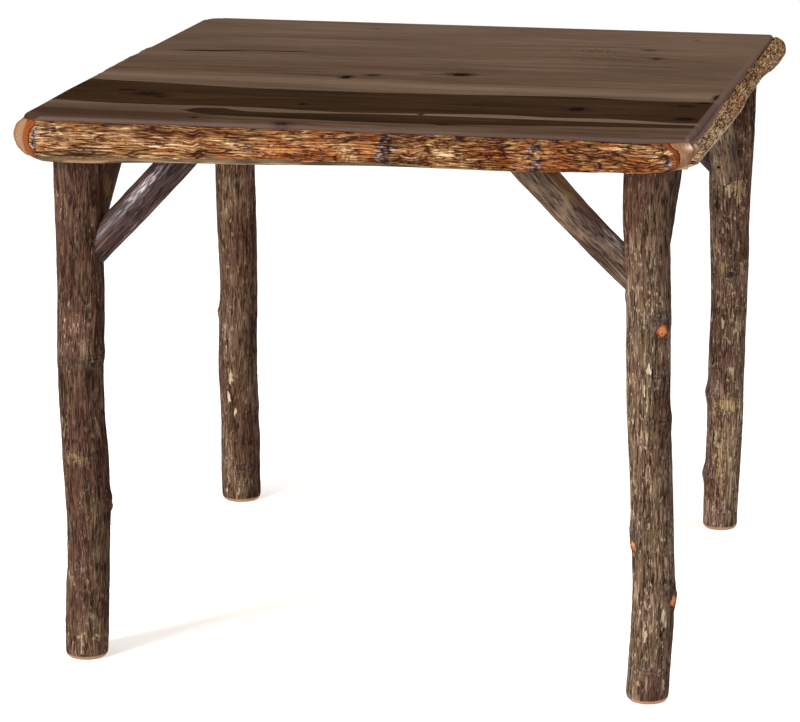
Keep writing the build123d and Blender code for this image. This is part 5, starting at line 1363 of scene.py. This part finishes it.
def board_material(name, along, colours, seed):
    """Planed, unstained board: grain along x or y."""
    m = Mat(name)
    p = m.pos()
    x, y, z = m.split(p)
    s, c = (x, y) if along == "x" else (y, x)
    c = m.add(m.mul(c, 1000.0), m.mul(z, 420.0))
    wander = m.noise(m.vec(m.mul(s, 3.2), m.mul(c, 0.012), float(seed)), 1.0, 2.0, 0.5)
    cc = m.add(c, m.mul(m.add(wander, -0.5), 46.0))
    arch = m.noise(m.vec(m.mul(s, 2.2), m.mul(cc, 0.10), seed + 3.0), 1.0, 3.0, 0.5, 0.2)
    late = m.noise(m.vec(m.mul(s, 4.0), m.mul(cc, 0.40), seed + 5.0), 1.0, 2.0, 0.5)
    fib = m.noise(m.vec(m.mul(s, 28.0), m.mul(cc, 1.3), seed + 7.0), 1.0, 3.0, 0.6)
    pore = m.noise(m.vec(m.mul(s, 90.0), m.mul(cc, 2.0), seed + 9.0), 1.0, 2.0, 0.5)
    v = m.add(m.add(m.mul(arch, 0.5), m.mul(late, 0.25)), m.mul(fib, 0.25))
    col = m.ramp(v, [(0.32, colours[0]), (0.5, colours[1]), (0.68, colours[2])])
    col = m.mix(m.mul(m.remap(pore, 0.60, 0.70), 0.35), col, lin(*[int(k * 0.6) for k in colours[0]]))
    # planer ripple and a little grime in the lower face
    ripple = m.math("SINE", m.mul(s, 1150.0))
    grime = m.noise(m.scale(p, (9, 9, 9)), 1.0, 3.0, 0.6)
    col = m.mix(m.mul(m.remap(grime, 0.5, 0.75), 0.25), col, lin(*[int(k * 0.62) for k in colours[1]]))
    rough = m.remap(fib, 0.3, 0.7, 0.56, 0.70)
    nrm = m.bump(m.add(m.mul(fib, 0.5), m.mul(ripple, 0.10)), 0.25, 0.0005)
    return m.finish(Base_Color=col, Roughness=rough, Normal=nrm, Specular_IOR_Level=0.35)


def wedge_material():
    m = Mat("wedge_wood")
    p = m.pos()
    fib = m.noise(m.scale(p, (700, 700, 40)), 1.0, 3.0, 0.6)
    col = m.ramp(fib, [(0.3, (150, 112, 74)), (0.5, (186, 150, 108)), (0.7, (208, 178, 138))])
    return m.finish(Base_Color=col, Roughness=m.remap(fib, 0.3, 0.7, 0.55, 0.7), Normal=m.bump(fib, 0.3, 0.0004))


def steel_material(name, base, worn, rough_lo, rough_hi):
    m = Mat(name)
    p = m.pos()
    cloud = m.noise(m.scale(p, (420, 420, 420)), 1.0, 3.0, 0.6)
    brush = m.noise(m.scale(p, (2600, 2600, 300)), 1.0, 2.0, 0.5)
    col = m.mix(m.remap(cloud, 0.42, 0.68), lin(*base), lin(*worn))
    rough = m.add(m.remap(cloud, 0.35, 0.7, rough_lo, rough_hi), m.mul(m.add(brush, -0.5), 0.15))
    return m.finish(Base_Color=col, Roughness=rough, Metallic=1.0, Normal=m.bump(brush, 0.2, 0.0002))


def floor_material():
    m = Mat("studio_floor")
    p = m.pos()
    n = m.noise(m.scale(p, (1.3, 1.3, 1.3)), 1.0, 2.0, 0.5)
    col = m.mix(n, lin(246, 245, 243), lin(250, 249, 247))
    m.finish(Base_Color=col, Roughness=0.9, Specular_IOR_Level=0.0, Emission_Color=(1.0, 0.995, 0.985, 1.0),
             Emission_Strength=FLOOR_GLOW)
    # a dark card to anything that mirrors it, so that the bark keeps its depth
    path = m.nt.nodes.new("ShaderNodeLightPath")
    card = m.nt.nodes.new("ShaderNodeEmission")
    card.inputs[0].default_value = (0.9, 0.93, 1.0, 1.0)
    card.inputs[1].default_value = 0.12
    both = m.nt.nodes.new("ShaderNodeMixShader")
    m.nt.links.new(path.outputs["Is Glossy Ray"], both.inputs[0])
    m.nt.links.new(m.bsdf.outputs[0], both.inputs[1])
    m.nt.links.new(card.outputs[0], both.inputs[2])
    m.nt.links.new(both.outputs[0], m.out.inputs[0])
    return m.mat


# ================================================================ put the pieces together
leg_mat, brace_mat, rail_mat, plank_mat = bark_leg_material(), bark_brace_material(), bark_rail_material(), top_material()


def place(piece, node, material):
    piece.data.materials.append(material)
    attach(piece, "root")
    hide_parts(node)


for leg_name in LEGS:
    place(make_leg(leg_name), leg_name, leg_mat)
for brace_name in BRACES:
    place(make_brace(brace_name), brace_name, brace_mat)
for rail_name in RAILS:
    place(make_rail(rail_name), rail_name, rail_mat)
for plank_index in range(1, 6):
    place(make_plank(plank_index), "top_plank_%d" % plank_index, plank_mat)


def dress(node, material):
    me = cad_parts[node].data
    me.materials.clear()
    me.materials.append(material)


RAW = ((150, 112, 74), (184, 146, 104), (204, 172, 130))
dress("frame_front", board_material("frame_board_front", "x", RAW, 1))
dress("frame_back", board_material("frame_board_back", "x", RAW, 21))
dress("frame_left", board_material("frame_board_left", "y", ((144, 108, 74), (178, 142, 102), (198, 168, 128)), 41))
dress("frame_right", board_material("frame_board_right", "y", ((146, 106, 68), (180, 140, 96), (202, 168, 124)), 61))
dress("centre_batten", board_material("frame_board_batten", "y", ((138, 104, 72), (172, 138, 100), (196, 166, 128)), 81))
dress("tenon_wedges", wedge_material())
dress("frame_screws", steel_material("screw_steel", (196, 190, 178), (150, 142, 126), 0.24, 0.42))
nails = steel_material("nail_steel", (96, 92, 88), (62, 52, 46), 0.34, 0.55)
dress("rail_nails", nails)
dress("brace_nails", nails)

# ================================================================ studio
bpy.ops.mesh.primitive_plane_add(size=60.0, location=(0, 0, 0))
floor = bpy.context.object
floor.name = "studio_floor"
floor.data.materials.append(floor_material())

world = bpy.data.worlds.new("studio")
bpy.context.scene.world = world
world.use_nodes = True
wt = world.node_tree
wt.nodes.clear()
w_out = wt.nodes.new("ShaderNodeOutputWorld")
w_soft = wt.nodes.new("ShaderNodeBackground")
w_soft.inputs[0].default_value = (1.0, 0.995, 0.985, 1.0)
w_soft.inputs[1].default_value = 0.62
w_gloss = wt.nodes.new("ShaderNodeBackground")
w_gloss.inputs[0].default_value = (0.96, 0.97, 1.0, 1.0)
w_gloss.inputs[1].default_value = 0.03
w_seen = wt.nodes.new("ShaderNodeBackground")
w_seen.inputs[0].default_value = (1.0, 1.0, 1.0, 1.0)
w_seen.inputs[1].default_value = 1.0
w_path = wt.nodes.new("ShaderNodeLightPath")
w_mix1, w_mix2 = wt.nodes.new("ShaderNodeMixShader"), wt.nodes.new("ShaderNodeMixShader")
wt.links.new(w_path.outputs["Is Glossy Ray"], w_mix1.inputs[0])
wt.links.new(w_soft.outputs[0], w_mix1.inputs[1])
wt.links.new(w_gloss.outputs[0], w_mix1.inputs[2])
wt.links.new(w_path.outputs["Is Camera Ray"], w_mix2.inputs[0])
wt.links.new(w_mix1.outputs[0], w_mix2.inputs[1])
wt.links.new(w_seen.outputs[0], w_mix2.inputs[2])
wt.links.new(w_mix2.outputs[0], w_out.inputs[0])


def softbox(name, place_at, aim_at, size, power, colour=(1, 1, 1)):
    data = bpy.data.lights.new(name, "AREA")
    data.shape, data.size, data.size_y = "RECTANGLE", size[0], size[1]
    data.energy, data.color = power, colour
    ob = bpy.data.objects.new(name, data)
    ob.location = place_at
    ob.rotation_euler = (Vector(aim_at) - Vector(place_at)).to_track_quat("-Z", "Y").to_euler()
    bpy.context.scene.collection.objects.link(ob)
    return ob


softbox("key", (-2.3, -3.3, 2.7), (0.0, 0.0, 0.45), (1.1, 1.1), 150.0, (1.0, 0.985, 0.96))
softbox("fill_front", (1.6, -4.6, 1.3), (0.0, 0.0, 0.5), (1.6, 1.6), 16.0, (0.97, 0.98, 1.0))
softbox("side_strip", (-2.7, -3.1, 1.2), (-0.25, -0.4, 0.6), (0.5, 1.0), 30.0, (0.94, 0.96, 1.0))
softbox("overhead", (1.4, 0.5, 3.1), (0.2, -0.2, 0.7), (0.7, 0.7), 30.0, (1.0, 1.0, 1.0))

scene = bpy.context.scene
scene.view_settings.view_transform = "Standard"
scene.view_settings.look = "None"
scene.view_settings.exposure = 0.0
scene.view_settings.gamma = 1.0

# ================================================================ camera, at the photograph's angle
YAW, PITCH, ROLL = -0.22665, 0.24799, -0.00346
fwd = Vector((math.sin(YAW) * math.cos(PITCH), math.cos(YAW) * math.cos(PITCH), -math.sin(PITCH)))
right0 = Vector((math.cos(YAW), -math.sin(YAW), 0.0))
up0 = right0.cross(fwd)
right = right0 * math.cos(ROLL) + up0 * math.sin(ROLL)
up = up0 * math.cos(ROLL) - right0 * math.sin(ROLL)
cam_data = bpy.data.cameras.new("camera")
cam_data.sensor_width, cam_data.sensor_fit = 36.0, "HORIZONTAL"
cam_data.lens = 3334.02 * 36.0 / 800.0
cam_data.clip_start, cam_data.clip_end = 0.1, 120.0
cam = bpy.data.objects.new("camera", cam_data)
cam.matrix_world = Matrix(((right.x, up.x, -fwd.x, 1.01284), (right.y, up.y, -fwd.y, -4.53083),
                           (right.z, up.z, -fwd.z, 1.51666), (0, 0, 0, 1)))
scene.collection.objects.link(cam)
scene.camera = cam

bpy.context.view_layer.update()
